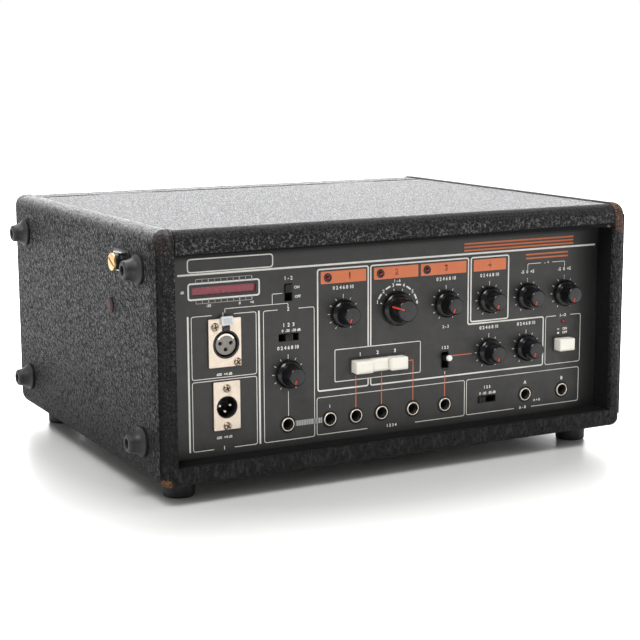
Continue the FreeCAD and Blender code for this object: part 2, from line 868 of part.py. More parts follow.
def rubber_feet():
    """Four feet under the case and four conical feet on its left side, all hollow for their screws."""
    under = turned(
        "bottom_foot_form",
        [
            ("pilot_radius", "0"),
            ("foot_radius", "0"),
            ("foot_radius", "foot_height - foot_radius + foot_tip_radius"),
            ("foot_tip_radius", "foot_height"),
            ("foot_recess_radius", "foot_height"),
            ("foot_recess_radius", "foot_seat"),
            ("pilot_radius", "foot_seat"),
        ],
    )
    side = turned(
        "side_foot_form",
        [
            ("pilot_radius", "0"),
            ("side_foot_radius", "0"),
            ("side_foot_radius - foot_bevel", "side_foot_seat / 2"),
            ("side_foot_tip + foot_bevel", "side_foot_height - foot_bevel"),
            ("side_foot_tip", "side_foot_height"),
            ("side_foot_recess", "side_foot_height"),
            ("side_foot_recess", "side_foot_seat"),
            ("pilot_radius", "side_foot_seat"),
        ],
    )
    screw = turned("screw_form", [
        ("0", "-screw_length"), ("screw_radius", "-screw_length"), ("screw_radius", "0"),
        ("screw_head_radius", "0"), ("screw_head_radius", "screw_head_high * dome_share"),
        ("screw_head_radius * dome_share", "screw_head_high"), ("0", "screw_head_high"),
    ])
    feet, screws = [], []
    for number, (x_side, y_side) in enumerate(((-1, -1), (1, -1), (1, 1), (-1, 1)), start=1):
        x = f"{x_side} * (case_width / 2 - foot_inset_x)"
        y = f"{y_side} * (case_depth / 2 - foot_inset_y)"
        feet.append(placed(f"bottom_foot_{number}", under, "down", x, y, "foot_height"))
        screws.append(placed(f"bottom_screw_{number}", screw, "down", x, y, "foot_height - foot_seat"))
    low, high = SIDE_FEET_Z
    for number, (y_side, z) in enumerate(((-1, low), (1, low), (1, high), (-1, high)), start=1):
        y = f"{y_side} * (case_depth / 2 - side_foot_inset_y)"
        height = f"foot_height + {z}"
        feet.append(placed(f"side_foot_{number}", side, "left", "-case_width / 2", y, height))
        screws.append(
            placed(f"side_screw_{number}", screw, "left", "-case_width / 2 - side_foot_seat", y, height)
        )
    for number, (y_side, z_side) in enumerate(((-1, -1), (1, -1), (1, 1), (-1, 1)), start=1):
        y = f"{y_side} * ((cap_start_y + cap_end_y) / 2 + cap_screw_z)"
        z = f"{HANDLE_Z} + {z_side} * cap_screw_z"
        screws.append(placed(f"handle_screw_{number}", screw, "right", "case_width / 2 + cap_high", y, z))
    bolt = turned("side_bolt", [
        ("0", "-screw_length / 2"), ("screw_radius", "-screw_length / 2"), ("screw_radius", "0"),
        ("bolt_head_radius", "0"), ("bolt_head_radius", "bolt_head_high / 2"),
        ("bolt_head_radius * dome_share", "bolt_head_high"), ("0", "bolt_head_high"),
    ], "left", "-case_width / 2", f"{FRONT} + bolt_y", f"foot_height + {BOLT_Z}")
    node("rubber_feet", group("rubber_feet", *feet))
    node("case_screws", group("case_screws", *screws, bolt))


def lid_lock():
    """A quarter-turn lock: a slotted brass screw in a black barrel, with a cam behind the side board."""
    y, z = f"{FRONT} + lock_y", f"foot_height + {LOCK_Z}"
    outside = "-case_width / 2"
    back_plate = box(
        "lock_back_plate", (f"{outside} - lock_plate_thick", outside),
        (f"{y} - lock_plate_front", f"{y} + lock_plate_back"),
        span(z, "lock_plate_high"),
    )
    barrel = rod("lock_barrel", "left", outside, y, z, "lock_barrel_radius", "lock_barrel_long")
    bore = rod("lock_bore", "left", outside, y, z, "lock_shaft_radius + shaft_fit", "lock_barrel_long")
    node("lock_plate", cut("lock_plate", fuse("lock_plate_body", back_plate, barrel), bore))
    reach = "(lock_barrel_long + side_board + shaft_fit)"
    head = turned(
        "lock_screw_form",
        [
            ("0", f"-{reach} - lock_cam_thick"),
            ("lock_shaft_radius", f"-{reach} - lock_cam_thick"),
            ("lock_shaft_radius", "0"),
            ("lock_head_radius", "0"),
            ("lock_head_radius", "lock_head_high * dome_share"),
            ("lock_head_radius - lock_head_high / 2", "lock_head_high"),
            ("0", "lock_head_high"),
        ],
    )
    cam = box(
        "lock_cam",
        ("-lock_cam_wide / 2", "lock_cam_wide / 2"),
        ("-lock_cam_long", "lock_cam_wide / 2"),
        (f"-{reach} - lock_cam_thick", f"-{reach}"),
    )
    slot = box(
        "lock_slot_tool",
        ("-lock_slot / 2", "lock_slot / 2"),
        ("-lock_head_radius", "lock_head_radius"),
        ("lock_head_high / 2", "lock_head_high"),
    )
    screw = cut("lock_screw_cut", fuse("lock_screw_body", head, cam), slot)
    node("lock_screw", placed("lock_screw", screw, "left", f"{outside} - lock_barrel_long", y, z))


def handle():
    """A strap that lies between two end caps, with slack for its ends inside them."""
    body = new_body("strap_handle")
    sketch = sketch_on(body, "XY_Plane", "strap_handle")
    low, high = "case_width / 2 + strap_lift", "case_width / 2 + strap_stand"
    inner = [("strap_end_y", low), ("strap_flat_y", low), ("strap_bend_y", high),
             ("-strap_bend_y", high), ("-strap_flat_y", low), ("-strap_end_y", low)]
    corners = [(x, y) for y, x in inner]
    corners += [(f"{x} + strap_thick", y) for y, x in reversed(inner)]
    outline(sketch, corners)
    pad(body, sketch, "strap_wide")
    node("strap_handle", put(body, z=f"{HANDLE_Z} - strap_wide / 2"))
    caps = []
    for tag, side in (("front", -1), ("rear", 1)):
        start, end = ("cap_start_y", "cap_end_y") if side > 0 else ("-cap_end_y", "-cap_start_y")
        cover = box(f"cap_{tag}_cover", ("case_width / 2", "case_width / 2 + cap_high"), (start, end),
                    (f"{HANDLE_Z} - strap_wide / 2 - cap_wall", f"{HANDLE_Z} + strap_wide / 2 + cap_wall"))
        deep = "strap_end_y + strap_play + strap_clear"
        hollow_y = ("cap_start_y", deep) if side > 0 else (f"-({deep})", "-cap_start_y")
        hollow = box(
            f"cap_{tag}_hollow",
            ("case_width / 2", "case_width / 2 + cap_high - cap_wall"),
            hollow_y,
            (f"{HANDLE_Z} - strap_wide / 2 - path_gap", f"{HANDLE_Z} + strap_wide / 2 + path_gap"),
        )
        holes = [
            rod(
                f"cap_{tag}_hole_{number}",
                "right",
                "case_width / 2",
                f"{side} * ((cap_start_y + cap_end_y) / 2 + cap_screw_z)",
                f"{HANDLE_Z} + {z_side} * cap_screw_z",
                "pilot_radius",
                "cap_high",
            )
            for number, z_side in enumerate((-1, 1))
        ]
        caps.append(cut(f"cap_{tag}", cover, hollow, *holes))
    node("handle_caps", group("handle_caps", *caps))


# ---------------------------------------------------------------- front panel

TOP_ROW = {
    "chorus_intensity_knob": "chorus_x",
    "echo_volume_knob": "echo_volume_x",
    "reverb_volume_knob": "reverb_x",
    "bass_knob": "bass_x",
    "treble_knob": "treble_x",
}
LOW_ROW = {
    "input_volume_knob": "input_volume_x",
    "echo_intensity_knob": "reverb_x",
    "repeat_rate_knob": "repeat_x",
}
KNOB_PLACES = {name: (spread(x), "top_row_z") for name, x in TOP_ROW.items()}
KNOB_PLACES.update({name: (spread(x), "low_row_z") for name, x in LOW_ROW.items()})
JACK_PLACES = tuple(spread(x) for x in (
    "jack_in_x", "effects_jack_x", "echo_jack_x", "mode_jack_x",
    "sound_jack_x", "toggle_x", "jack_out_x", "(jack_out_x + jack_out_pitch)",
))
LAMP_PLACES = tuple(spread(x) for x in ("chorus_lamp_x", "echo_lamp_x", "sound_lamp_x"))
IN_SCREWS = (("-in_screw_dx", "in_screw_dz"), ("in_screw_dx", "-in_screw_dz"))
XLR_SCREWS = [(f"{XLR_X} + {dx}", f"xlr_in_z + {dz}") for dx, dz in IN_SCREWS]
XLR_SCREWS += [(XLR_X, f"xlr_out_z {sign} out_screw_dz") for sign in "+-"]


def front_panel():
    """The aluminium panel, with an opening for each control, lamp and socket."""
    name = "front_panel"
    edge = f"({INNER} - panel_gap)"
    body = new_body(name)
    sketch = sketch_on(body, "XZ_Plane", name)
    top = f"{LID_UNDER} - foot_height - lid_gap"
    outline(sketch, [(f"-{edge}", "floor_board"), (edge, "floor_board"), (edge, top), (f"-{edge}", top)])
    pad(body, sketch, "panel_thick", reverse=True)
    rounds = sketch_on(body, "XZ_Plane", f"{name}_rounds")
    for x, z in KNOB_PLACES.values():
        circle(rounds, x, z, "bushing_radius + bushing_fit")
    circle(rounds, MODE_X, "top_row_z", "bushing_radius + bushing_fit")
    for x in JACK_PLACES:
        circle(rounds, x, "jack_row_z", "jack_hole_radius")
    for x in LAMP_PLACES:
        circle(rounds, x, "lamp_z", "bezel_tube + bushing_fit")
    circle(rounds, POWER_LAMP_X, "power_lamp_z", "lamp_radius + bushing_fit")
    circle(rounds, XLR_X, "xlr_in_z", "xlr_body_radius + bushing_fit")
    circle(rounds, XLR_X, "xlr_out_z", "xlr_out_body + bushing_fit")
    for x, z in XLR_SCREWS:
        circle(rounds, x, z, "thread_radius + bushing_fit")
    pocket(body, rounds)
    slots = sketch_on(body, "XZ_Plane", f"{name}_slots")
    rectangle(slots, METER_X, "meter_z", "meter_wide", "meter_high")
    rectangle(
        slots,
        EFFECT_X,
        "low_row_z",
        "2 * button_pitch + button_wide + 2 * button_gap",
        "button_high + 2 * button_gap",
    )
    rectangle(slots, POWER_X, "low_row_z", "button_wide + 2 * button_gap", "button_high + 2 * button_gap")
    rectangle(slots, TOGGLE_X, "toggle_z", "toggle_slot_wide", "toggle_slot_high")
    rectangle(slots, DIRECT_X, "direct_z", "direct_slot_wide", "direct_slot_high")
    rectangle(slots, LEVEL_X, "level_z", "level_slot_wide", "level_slot_high")
    rectangle(slots, OUT_LEVEL_X, "jack_row_z", "level_slot_wide", "level_slot_high")
    pocket(body, slots)
    return node(name, put(body, y=FACE, z="foot_height"))


def knob_form(name, skirt, waist, cap, high):
    """A knob about its own +Z, which points away from the panel, with the pointer cut in its cap."""
    shoulder = "knob_lift + knob_skirt_high"
    body = turned(name, [
        ("knob_hollow_radius", "knob_lift"), (skirt, "knob_lift"), (skirt, f"{shoulder} - knob_bevel"),
        (f"{skirt} - knob_bevel", shoulder), (waist, shoulder), (cap, f"{high} - knob_lift / 2"),
        (f"{cap} - knob_lift / 2", high), ("0", high), ("0", f"{high} - knob_top_wall"),
        ("shaft_radius", f"{high} - knob_top_wall"), ("shaft_radius", "knob_lift + knob_hollow"),
        ("knob_hollow_radius", "knob_lift + knob_hollow"),
    ])
    mark = sketch_on(body, "XY_Plane", f"{name}_mark")
    outline(mark, [
        ("-pointer_wide / 2", f"-{cap}"), ("pointer_wide / 2", f"-{cap}"),
        ("pointer_wide / 2", f"pointer_long - {cap}"), ("-pointer_wide / 2", f"pointer_long - {cap}"),
    ])
    mark.AttachmentOffset = FreeCAD.Placement(Vector(0, 0, value(high)), Rotation(Vector(0, 0, 1), 180))
    mark.setExpression("AttachmentOffset.Base.z", rule(high))
    pocket(body, mark, "pointer_deep")
    return body


def shaft_form(name, deep, high):
    """The round shaft inside a knob, from the bottom of its control to the top of the knob's bore."""
    start = f"-panel_thick - {deep} + pot_floor + path_gap"
    return turned(name, [
        ("0", start), ("shaft_radius", start),
        ("shaft_radius", f"{high} - knob_top_wall - path_gap"), ("0", f"{high} - knob_top_wall - path_gap"),
    ])


def knobs():
    """Eight small knobs and the mode knob, each on its shaft, turned to where its pointer rests."""
    small = (
        knob_form(
            "small_knob_form", "knob_skirt_radius", "knob_waist_radius", "knob_cap_radius", "knob_high"
        ),
        shaft_form("small_shaft_form", "pot_deep", "knob_high"),
    )
    large = (
        knob_form("mode_knob_form", "mode_skirt_radius", "mode_waist_radius", "mode_cap_radius", "mode_high"),
        shaft_form("mode_shaft_form", "wafer_deep", "mode_high"),
    )
    places = dict(KNOB_PLACES, mode_knob=(MODE_X, "top_row_z"))
    for name, (x, z) in places.items():
        form = large if name == "mode_knob" else small
        item = group(name, *form)
        facing = POINTING["front"].multiply(Rotation(Vector(0, 0, 1), -POINTERS[name]))
        item.Placement = FreeCAD.Placement(Vector(), facing)
        node(name, put(item, x, FACE, f"foot_height + {z}"))


def control_form(name, radius, deep):
    """A control behind the panel: a can with solder lugs, a bushing through the panel and its nut."""
    can = turned(
        f"{name}_can",
        [
            ("0", f"-panel_thick - {deep}"),
            (radius, f"-panel_thick - {deep}"),
            (radius, "-panel_thick"),
            ("bushing_radius", "-panel_thick"),
            ("bushing_radius", "0"),
            ("nut_radius", "0"),
            ("nut_radius", "nut_high"),
            ("bushing_radius", "nut_high"),
            ("bushing_radius", "bushing_high"),
            ("shaft_radius + shaft_fit", "bushing_high"),
            ("shaft_radius + shaft_fit", f"-panel_thick - {deep} + pot_floor"),
            ("0", f"-panel_thick - {deep} + pot_floor"),
        ],
    )
    lugs = box(
        f"{name}_lugs",
        ("-lug_wide / 2", "lug_wide / 2"),
        (f"-{radius} - lug_long", "-shaft_radius - pot_floor"),
        (f"-panel_thick - {deep} + pot_floor", f"-panel_thick - {deep} + pot_floor + lug_thick"),
    )
    return fuse(name, can, lugs)


def potentiometers():
    form = control_form("potentiometer_form", "pot_radius", "pot_deep")
    cans = [
        placed(f"{name}_control", form, "front", x, FACE, f"foot_height + {z}")
        for name, (x, z) in KNOB_PLACES.items()
    ]
    node("potentiometers", group("potentiometers", *cans))


def button(name, x, out):
    """An ivory cap on a stem, standing out from the panel by a given length."""
    cap = new_body(f"{name}_cap")
    sketch = sketch_on(cap, "XZ_Plane", f"{name}_cap")
    rectangle(sketch, "0", "0", "button_wide", "button_high")
    pad(cap, sketch, "button_deep", reverse=True)
    rounded(cap, "button_round", lambda edge: at(edge, y=0))
    stem = box(
        f"{name}_stem",
        ("-stem_wide / 2", "stem_wide / 2"),
        ("button_deep - overlap", "button_deep + stem_long"),
        ("-stem_high / 2", "stem_high / 2"),
    )
    return node(name, put(fuse(name, cap, stem), x, f"{FACE} - ({out})", "foot_height + low_row_z"))


def button_bank(name, x, columns):
    """The switch behind a row of buttons: a frame that their caps sink into, with a bore for each stem."""
    half = f"((({columns} - 1) * button_pitch + button_wide) / 2 + button_gap)"
    tall = "(button_high / 2 + button_gap)"
    z = "foot_height + low_row_z"
    back = f"{BEHIND} + bank_cavity + stem_long"
    shell = box(f"{name}_shell", (f"{x} - {half} - bank_wall", f"{x} + {half} + bank_wall"), (BEHIND, back),
                (f"{z} - {tall} - bank_wall", f"{z} + {tall} + bank_wall"))
    cavity = box(f"{name}_cavity", (f"{x} - {half}", f"{x} + {half}"), (BEHIND, f"{BEHIND} + bank_cavity"),
                 (f"{z} - {tall}", f"{z} + {tall}"))
    bores = []
    for number in range(columns):
        middle = f"{x} + {2 * number - columns + 1} * button_pitch / 2"
        bores.append(
            box(
                f"{name}_bore_{number}",
                (f"{middle} - stem_wide / 2 - stem_fit", f"{middle} + stem_wide / 2 + stem_fit"),
                (f"{BEHIND} + bank_cavity", f"{back} - bank_back"),
                (f"{z} - stem_high / 2 - stem_fit", f"{z} + stem_high / 2 + stem_fit"),
            ),
        )
    return cut(name, shell, cavity, *bores)


def slide_body(name, x, z, wide, high):
    """A slide switch behind the panel: a block whose slot continues the panel's slot."""
    z = f"foot_height + {z}"
    block = box(
        f"{name}_block",
        (f"{x} - {wide} / 2 - switch_wall", f"{x} + {wide} / 2 + switch_wall"),
        (BEHIND, f"{BEHIND} + slide_body_deep"),
        (f"{z} - {high} / 2 - switch_wall", f"{z} + {high} / 2 + switch_wall"),
    )
    slot = box(f"{name}_slot", span(x, wide), (BEHIND, f"{BEHIND} + slider_deep"),
               span(z, high))
    return cut(name, block, slot)


def slider(name, x, z, wide, high):
    """A black slider that fills its slot across and is shorter than it along its travel."""
    return node(name, box(
        name, span(x, f"({wide})"),
        (f"{FACE} - slider_out", f"{BEHIND} + slider_deep - slider_gap"),
        span(f"foot_height + {z}", f"({high})"),
    ))


def toggle():
    """The toggle's lever on its cross pin, thrown up, and the switch body that carries the pin."""
    z = "foot_height + toggle_z"
    pivot_y = f"{BEHIND} + toggle_pivot"
    stick = turned(
        "toggle_stick",
        [
            ("0", "-toggle_root_radius"),
            ("toggle_root_radius", "-toggle_root_radius"),
            ("toggle_root_radius", "0"),
            ("toggle_neck_radius", "toggle_reach - toggle_tip_radius"),
            ("0", "toggle_reach - toggle_tip_radius"),
        ],
    )
    tip = ball("toggle_tip", "0", "0", "toggle_reach - toggle_tip_radius", "toggle_tip_radius")
    pin = rod(
        "toggle_pin",
        "right",
        "-toggle_slot_wide / 2 - toggle_pin_end",
        "0",
        "0",
        "toggle_pin_radius",
        "toggle_slot_wide + 2 * toggle_pin_end",
    )
    lever = fuse("toggle_lever", stick, tip, pin)
    lever.Placement = FreeCAD.Placement(
        Vector(), POINTING["front"].multiply(Rotation(Vector(1, 0, 0), -value("toggle_tilt")))
    )
    node("toggle_lever", put(lever, TOGGLE_X, pivot_y, z))
    half_x, half_z = "toggle_slot_wide / 2", "toggle_slot_high / 2"
    block = box(
        "toggle_block",
        (f"{TOGGLE_X} - {half_x} - switch_wall", f"{TOGGLE_X} + {half_x} + switch_wall"),
        (BEHIND, f"{BEHIND} + toggle_cavity + switch_wall"),
        (f"{z} - {half_z} - switch_wall", f"{z} + {half_z} + switch_wall"),
    )
    cavity = box(
        "toggle_hollow",
        (f"{TOGGLE_X} - {half_x}", f"{TOGGLE_X} + {half_x}"),
        (BEHIND, f"{BEHIND} + toggle_cavity"),
        (f"{z} - {half_z}", f"{z} + {half_z}"),
    )
    bore = rod(
        "toggle_bore",
        "right",
        f"{TOGGLE_X} - {half_x} - toggle_pin_end - toggle_pin_fit",
        pivot_y,
        z,
        "toggle_pin_radius + toggle_pin_fit",
        "toggle_slot_wide + 2 * toggle_pin_end + 2 * toggle_pin_fit",
    )
    return cut("toggle_switch_body", block, cavity, bore)


def switches():
    """Every push, slide, toggle and rotary switch behind the panel, with the pieces that move in them."""
    wafer = control_form("mode_switch_form", "wafer_radius", "wafer_deep")
    bodies = [
        placed("mode_switch_body", wafer, "front", MODE_X, FACE, "foot_height + top_row_z"),
        button_bank("effect_bank", EFFECT_X, 3),
        button_bank("power_bank", POWER_X, 1),
        slide_body("direct_body", DIRECT_X, "direct_z", "direct_slot_wide", "direct_slot_high"),
        slide_body("level_body", LEVEL_X, "level_z", "level_slot_wide", "level_slot_high"),
        slide_body("out_level_body", OUT_LEVEL_X, "jack_row_z", "level_slot_wide", "level_slot_high"),
        toggle(),
    ]
    node("panel_switches", group("panel_switches", *bodies))
    button("chorus_button", f"{EFFECT_X} - button_pitch", "button_out")
    button("echo_button", EFFECT_X, "button_out - button_latched")
    button("sound_button", f"{EFFECT_X} + button_pitch", "button_out")
    button("power_button", POWER_X, "button_out")
    across = "direct_slot_wide - 2 * slider_gap"
    slider(
        "direct_slider",
        DIRECT_X,
        "(direct_z + (direct_slot_high - slider_long) / 2 - slider_gap)",
        across,
        "slider_long",
    )
    across = "level_slot_high - 2 * slider_gap"
    slider("input_level_slider", LEVEL_X, "level_z", "slider_long", across)
    slider(
        "output_level_slider",
        f"({OUT_LEVEL_X} - (level_slot_wide - slider_long) / 2 + slider_gap)",
        "jack_row_z",
        "slider_long",
        across,
    )


def xlr_connectors():
    """The balanced input's socket with its latch and insert, and the balanced output's plug with its pins."""
    z_in, z_out = "foot_height + xlr_in_z", "foot_height + xlr_out_z"
    plate_face = f"{FACE} - xlr_plate"
    plate_in = box(
        "xlr_in_plate",
        (f"{XLR_X} - xlr_in_left", f"{XLR_X} - xlr_in_left + xlr_in_wide"),
        (plate_face, FACE),
        ("foot_height + xlr_in_low", "foot_height + xlr_in_top"),
    )
    body_in = rod("xlr_in_body", "back", XLR_X, FACE, z_in, "xlr_body_radius", "xlr_in_deep")
    ring = rod(
        "xlr_in_ring", "back", XLR_X, plate_face, z_in, "xlr_ring_radius", "xlr_plate + xlr_bore_deep"
    )
    notch = box(
        "xlr_notch",
        span(XLR_X, "notch_wide"),
        (plate_face, f"{FACE} + latch_stem_deep + latch_gap"),
        (z_in, "foot_height + latch_low + latch_gap"),
    )
    holes = [
        rod(
            f"xlr_screw_hole_{number}",
            "back",
            x,
            plate_face,
            f"foot_height + {z}",
            "thread_radius + bushing_fit",
            "xlr_plate",
        )
        for number, (x, z) in enumerate(XLR_SCREWS)
    ]
    trimmed = doc.addObject("Part::Common", "xlr_notch_trim")
    trimmed.Base = notch
    trimmed.Tool = fuse(
        "xlr_notch_space",
        box(
            "xlr_notch_plate",
            (f"{XLR_X} - notch_wide", f"{XLR_X} + notch_wide"),
            (plate_face, FACE),
            (z_in, "foot_height + latch_top"),
        ),
        rod(
            "xlr_notch_body", "back", XLR_X, plate_face, z_in, "xlr_body_radius - path_gap", "xlr_in_deep"
        ),
    )
    node(
        "xlr_socket",
        cut("xlr_socket", fuse("xlr_socket_body", plate_in, body_in), ring, trimmed, *holes[:2]),
    )

    pin_places = [
        (f"{XLR_X} - pin_spread", "pin_rise"), (f"{XLR_X} + pin_spread", "pin_rise"), (XLR_X, "-pin_drop")
    ]
    insert_front = f"{FACE} - xlr_plate + xlr_insert_set"
    insert = rod(
        "xlr_insert_rod",
        "back",
        XLR_X,
        insert_front,
        z_in,
        "xlr_insert_radius",
        "xlr_plate + xlr_bore_deep - xlr_insert_set",
    )
    contacts = [
        rod(f"xlr_contact_{number}", "back", x, insert_front, f"{z_in} + {z}", "pin_hole_radius", "pin_long")
        for number, (x, z) in enumerate(pin_places)
    ]
    node("xlr_insert", cut("xlr_insert", insert, *contacts))

    latch_face = f"{plate_face} - latch_out"
    thumb = box("latch_thumb", span(XLR_X, "latch_wide"), (latch_face, f"{plate_face} - latch_gap"),
                ("foot_height + latch_low", "foot_height + latch_top"))
    bar = box(
        "latch_bar",
        (f"{XLR_X} - notch_wide / 2 + latch_gap", f"{XLR_X} + notch_wide / 2 - latch_gap"),
        (f"{plate_face} - latch_gap - latch_thick", f"{FACE} - latch_gap"),
        ("foot_height + latch_stem_low + latch_travel", "foot_height + latch_low"),
    )
    hook = box(
        "latch_hook",
        (f"{XLR_X} - notch_wide / 2 + latch_gap", f"{XLR_X} + notch_wide / 2 - latch_gap"),
        (f"{FACE} - latch_gap - latch_thick", f"{FACE} + latch_stem_deep"),
        (
            "foot_height + latch_stem_low + latch_travel",
            "foot_height + latch_stem_low + latch_travel + latch_thick",
        ),
    )
    foot = box(
        "latch_foot",
        (f"{XLR_X} - notch_wide / 2 + latch_gap", f"{XLR_X} + notch_wide / 2 - latch_gap"),
        (f"{plate_face} - latch_gap - latch_thick", f"{plate_face} - latch_gap"),
        ("foot_height + latch_low - latch_thick", "foot_height + latch_low + latch_thick"),
    )
    node("xlr_latch", fuse("xlr_latch", thumb, bar, hook, foot))

    plate_out = box("xlr_out_plate", span(XLR_X, "xlr_out_wide"), (plate_face, FACE),
                    ("foot_height + xlr_out_low", "foot_height + xlr_out_top"))
    body_out = rod("xlr_out_shell", "back", XLR_X, FACE, z_out, "xlr_out_body", "xlr_out_deep")
    cup = rod(
        "xlr_out_cup", "back", XLR_X, plate_face, z_out, "xlr_out_radius", "xlr_plate + xlr_bore_deep"
    )
    bores, pins = [], []
    for number, (x, z) in enumerate(pin_places):
        bores.append(
            rod(
                f"xlr_pin_bore_{number}",
                "back",
                x,
                FACE,
                f"{z_out} + {z}",
                "pin_radius + pin_fit",
                "xlr_out_deep",
            ),
        )
        pins.append(
            rod(
                f"xlr_pin_{number}",
                "back",
                x,
                f"{FACE} + xlr_bore_deep - pin_long",
                f"{z_out} + {z}",
                "pin_radius",
                "pin_long - xlr_bore_deep + xlr_out_deep + pin_tail",
            ),
        )
    shell = cut("xlr_out_bored", fuse("xlr_out_body_all", plate_out, body_out), cup, *bores, *holes[2:])
    node("xlr_plug", group("xlr_plug", shell, *pins))

    screw = turned(
        "connector_screw_form",
        [
            ("0", "-thread_long"),
            ("thread_radius", "-thread_long"),
            ("thread_radius", "0"),
            ("head_radius", "0"),
            ("head_radius", "head_high / 2"),
            ("head_radius * dome_share", "head_high"),
            ("0", "head_high"),
        ],
    )
    screws = [
        placed(f"connector_screw_{number}", screw, "front", x, plate_face, f"foot_height + {z}")
        for number, (x, z) in enumerate(XLR_SCREWS, start=1)
    ]
    node("connector_screws", group("connector_screws", *screws))


def jack_sockets():
    """Eight quarter-inch sockets: a metal sleeve in the panel's hole on a block behind it."""
    sockets = []
    for number, x in enumerate(JACK_PLACES, start=1):
        z = "foot_height + jack_row_z"
        block = box(f"jack_block_{number}", span(x, "jack_body"),
                    (BEHIND, f"{BEHIND} + jack_body_deep"), span(z, "jack_body"))
        sleeve = rod(
            f"jack_sleeve_{number}",
            "back",
            x,
            f"{FACE} - jack_proud",
            z,
            "jack_sleeve_radius",
            "jack_proud + panel_thick + overlap",
        )
        bore = rod(
            f"jack_bore_{number}",
            "back",
            x,
            f"{FACE} - jack_proud",
            z,
            "jack_bore_radius",
            "jack_bore_deep",
        )
        sockets.append(cut(f"jack_{number}", fuse(f"jack_body_{number}", block, sleeve), bore))
    node("jack_sockets", group("jack_sockets", *sockets))


def meter_and_lamps():
    """The level meter's red pane in its housing, and the indicator lamps."""
    z = "foot_height + meter_z"
    half_x, half_z = "(meter_wide / 2 - panel_gap)", "(meter_high / 2 - panel_gap)"
    front = f"{FACE} + meter_set"
    node(
        "meter_window",
        box(
            "meter_window",
            (f"{METER_X} - {half_x}", f"{METER_X} + {half_x}"),
            (front, f"{front} + meter_pane"),
            (f"{z} - {half_z}", f"{z} + {half_z}"),
        ),
    )
    shell = box(
        "meter_shell",
        (f"{METER_X} - meter_wide / 2 - meter_rim", f"{METER_X} + meter_wide / 2 + meter_rim"),
        (BEHIND, f"{BEHIND} + meter_deep"),
        (f"{z} - meter_high / 2 - meter_rim", f"{z} + meter_high / 2 + meter_rim"),
    )
    seat = box("meter_seat", span(METER_X, "meter_wide"), (BEHIND, f"{front} + meter_pane"),
               span(z, "meter_high"))
    node("meter_housing", cut("meter_housing", shell, seat))
    pieces = []
    for number, x in enumerate(LAMP_PLACES, start=1):
        height = "foot_height + lamp_z"
        pieces.append(
            turned(
                f"lamp_bezel_{number}",
                [
                    ("lamp_radius", "-lamp_deep"),
                    ("bezel_tube", "-lamp_deep"),
                    ("bezel_tube", "0"),
                    ("bezel_radius", "0"),
                    ("bezel_radius", "bezel_high / 2"),
                    ("bezel_tube", "bezel_high"),
                    ("lamp_radius", "bezel_high"),
                ],
                "front",
                x,
                FACE,
                height,
            ),
        )
        pieces.append(lamp(f"lamp_{number}", x, height))
    pieces.append(lamp("power_lamp", POWER_LAMP_X, "foot_height + power_lamp_z"))
    node("indicator_lamps", group("indicator_lamps", *pieces))


def lamp(name, x, z):
    """A lamp with a round nose that just clears its bezel."""
    stick = rod(f"{name}_stick", "front", x, f"{FACE} + lamp_deep", z, "lamp_radius - shaft_fit", "lamp_deep")
    nose = ball(f"{name}_nose", x, FACE, z, "lamp_radius - shaft_fit")
    return fuse(name, stick, nose)


# ---------------------------------------------------------------- rear

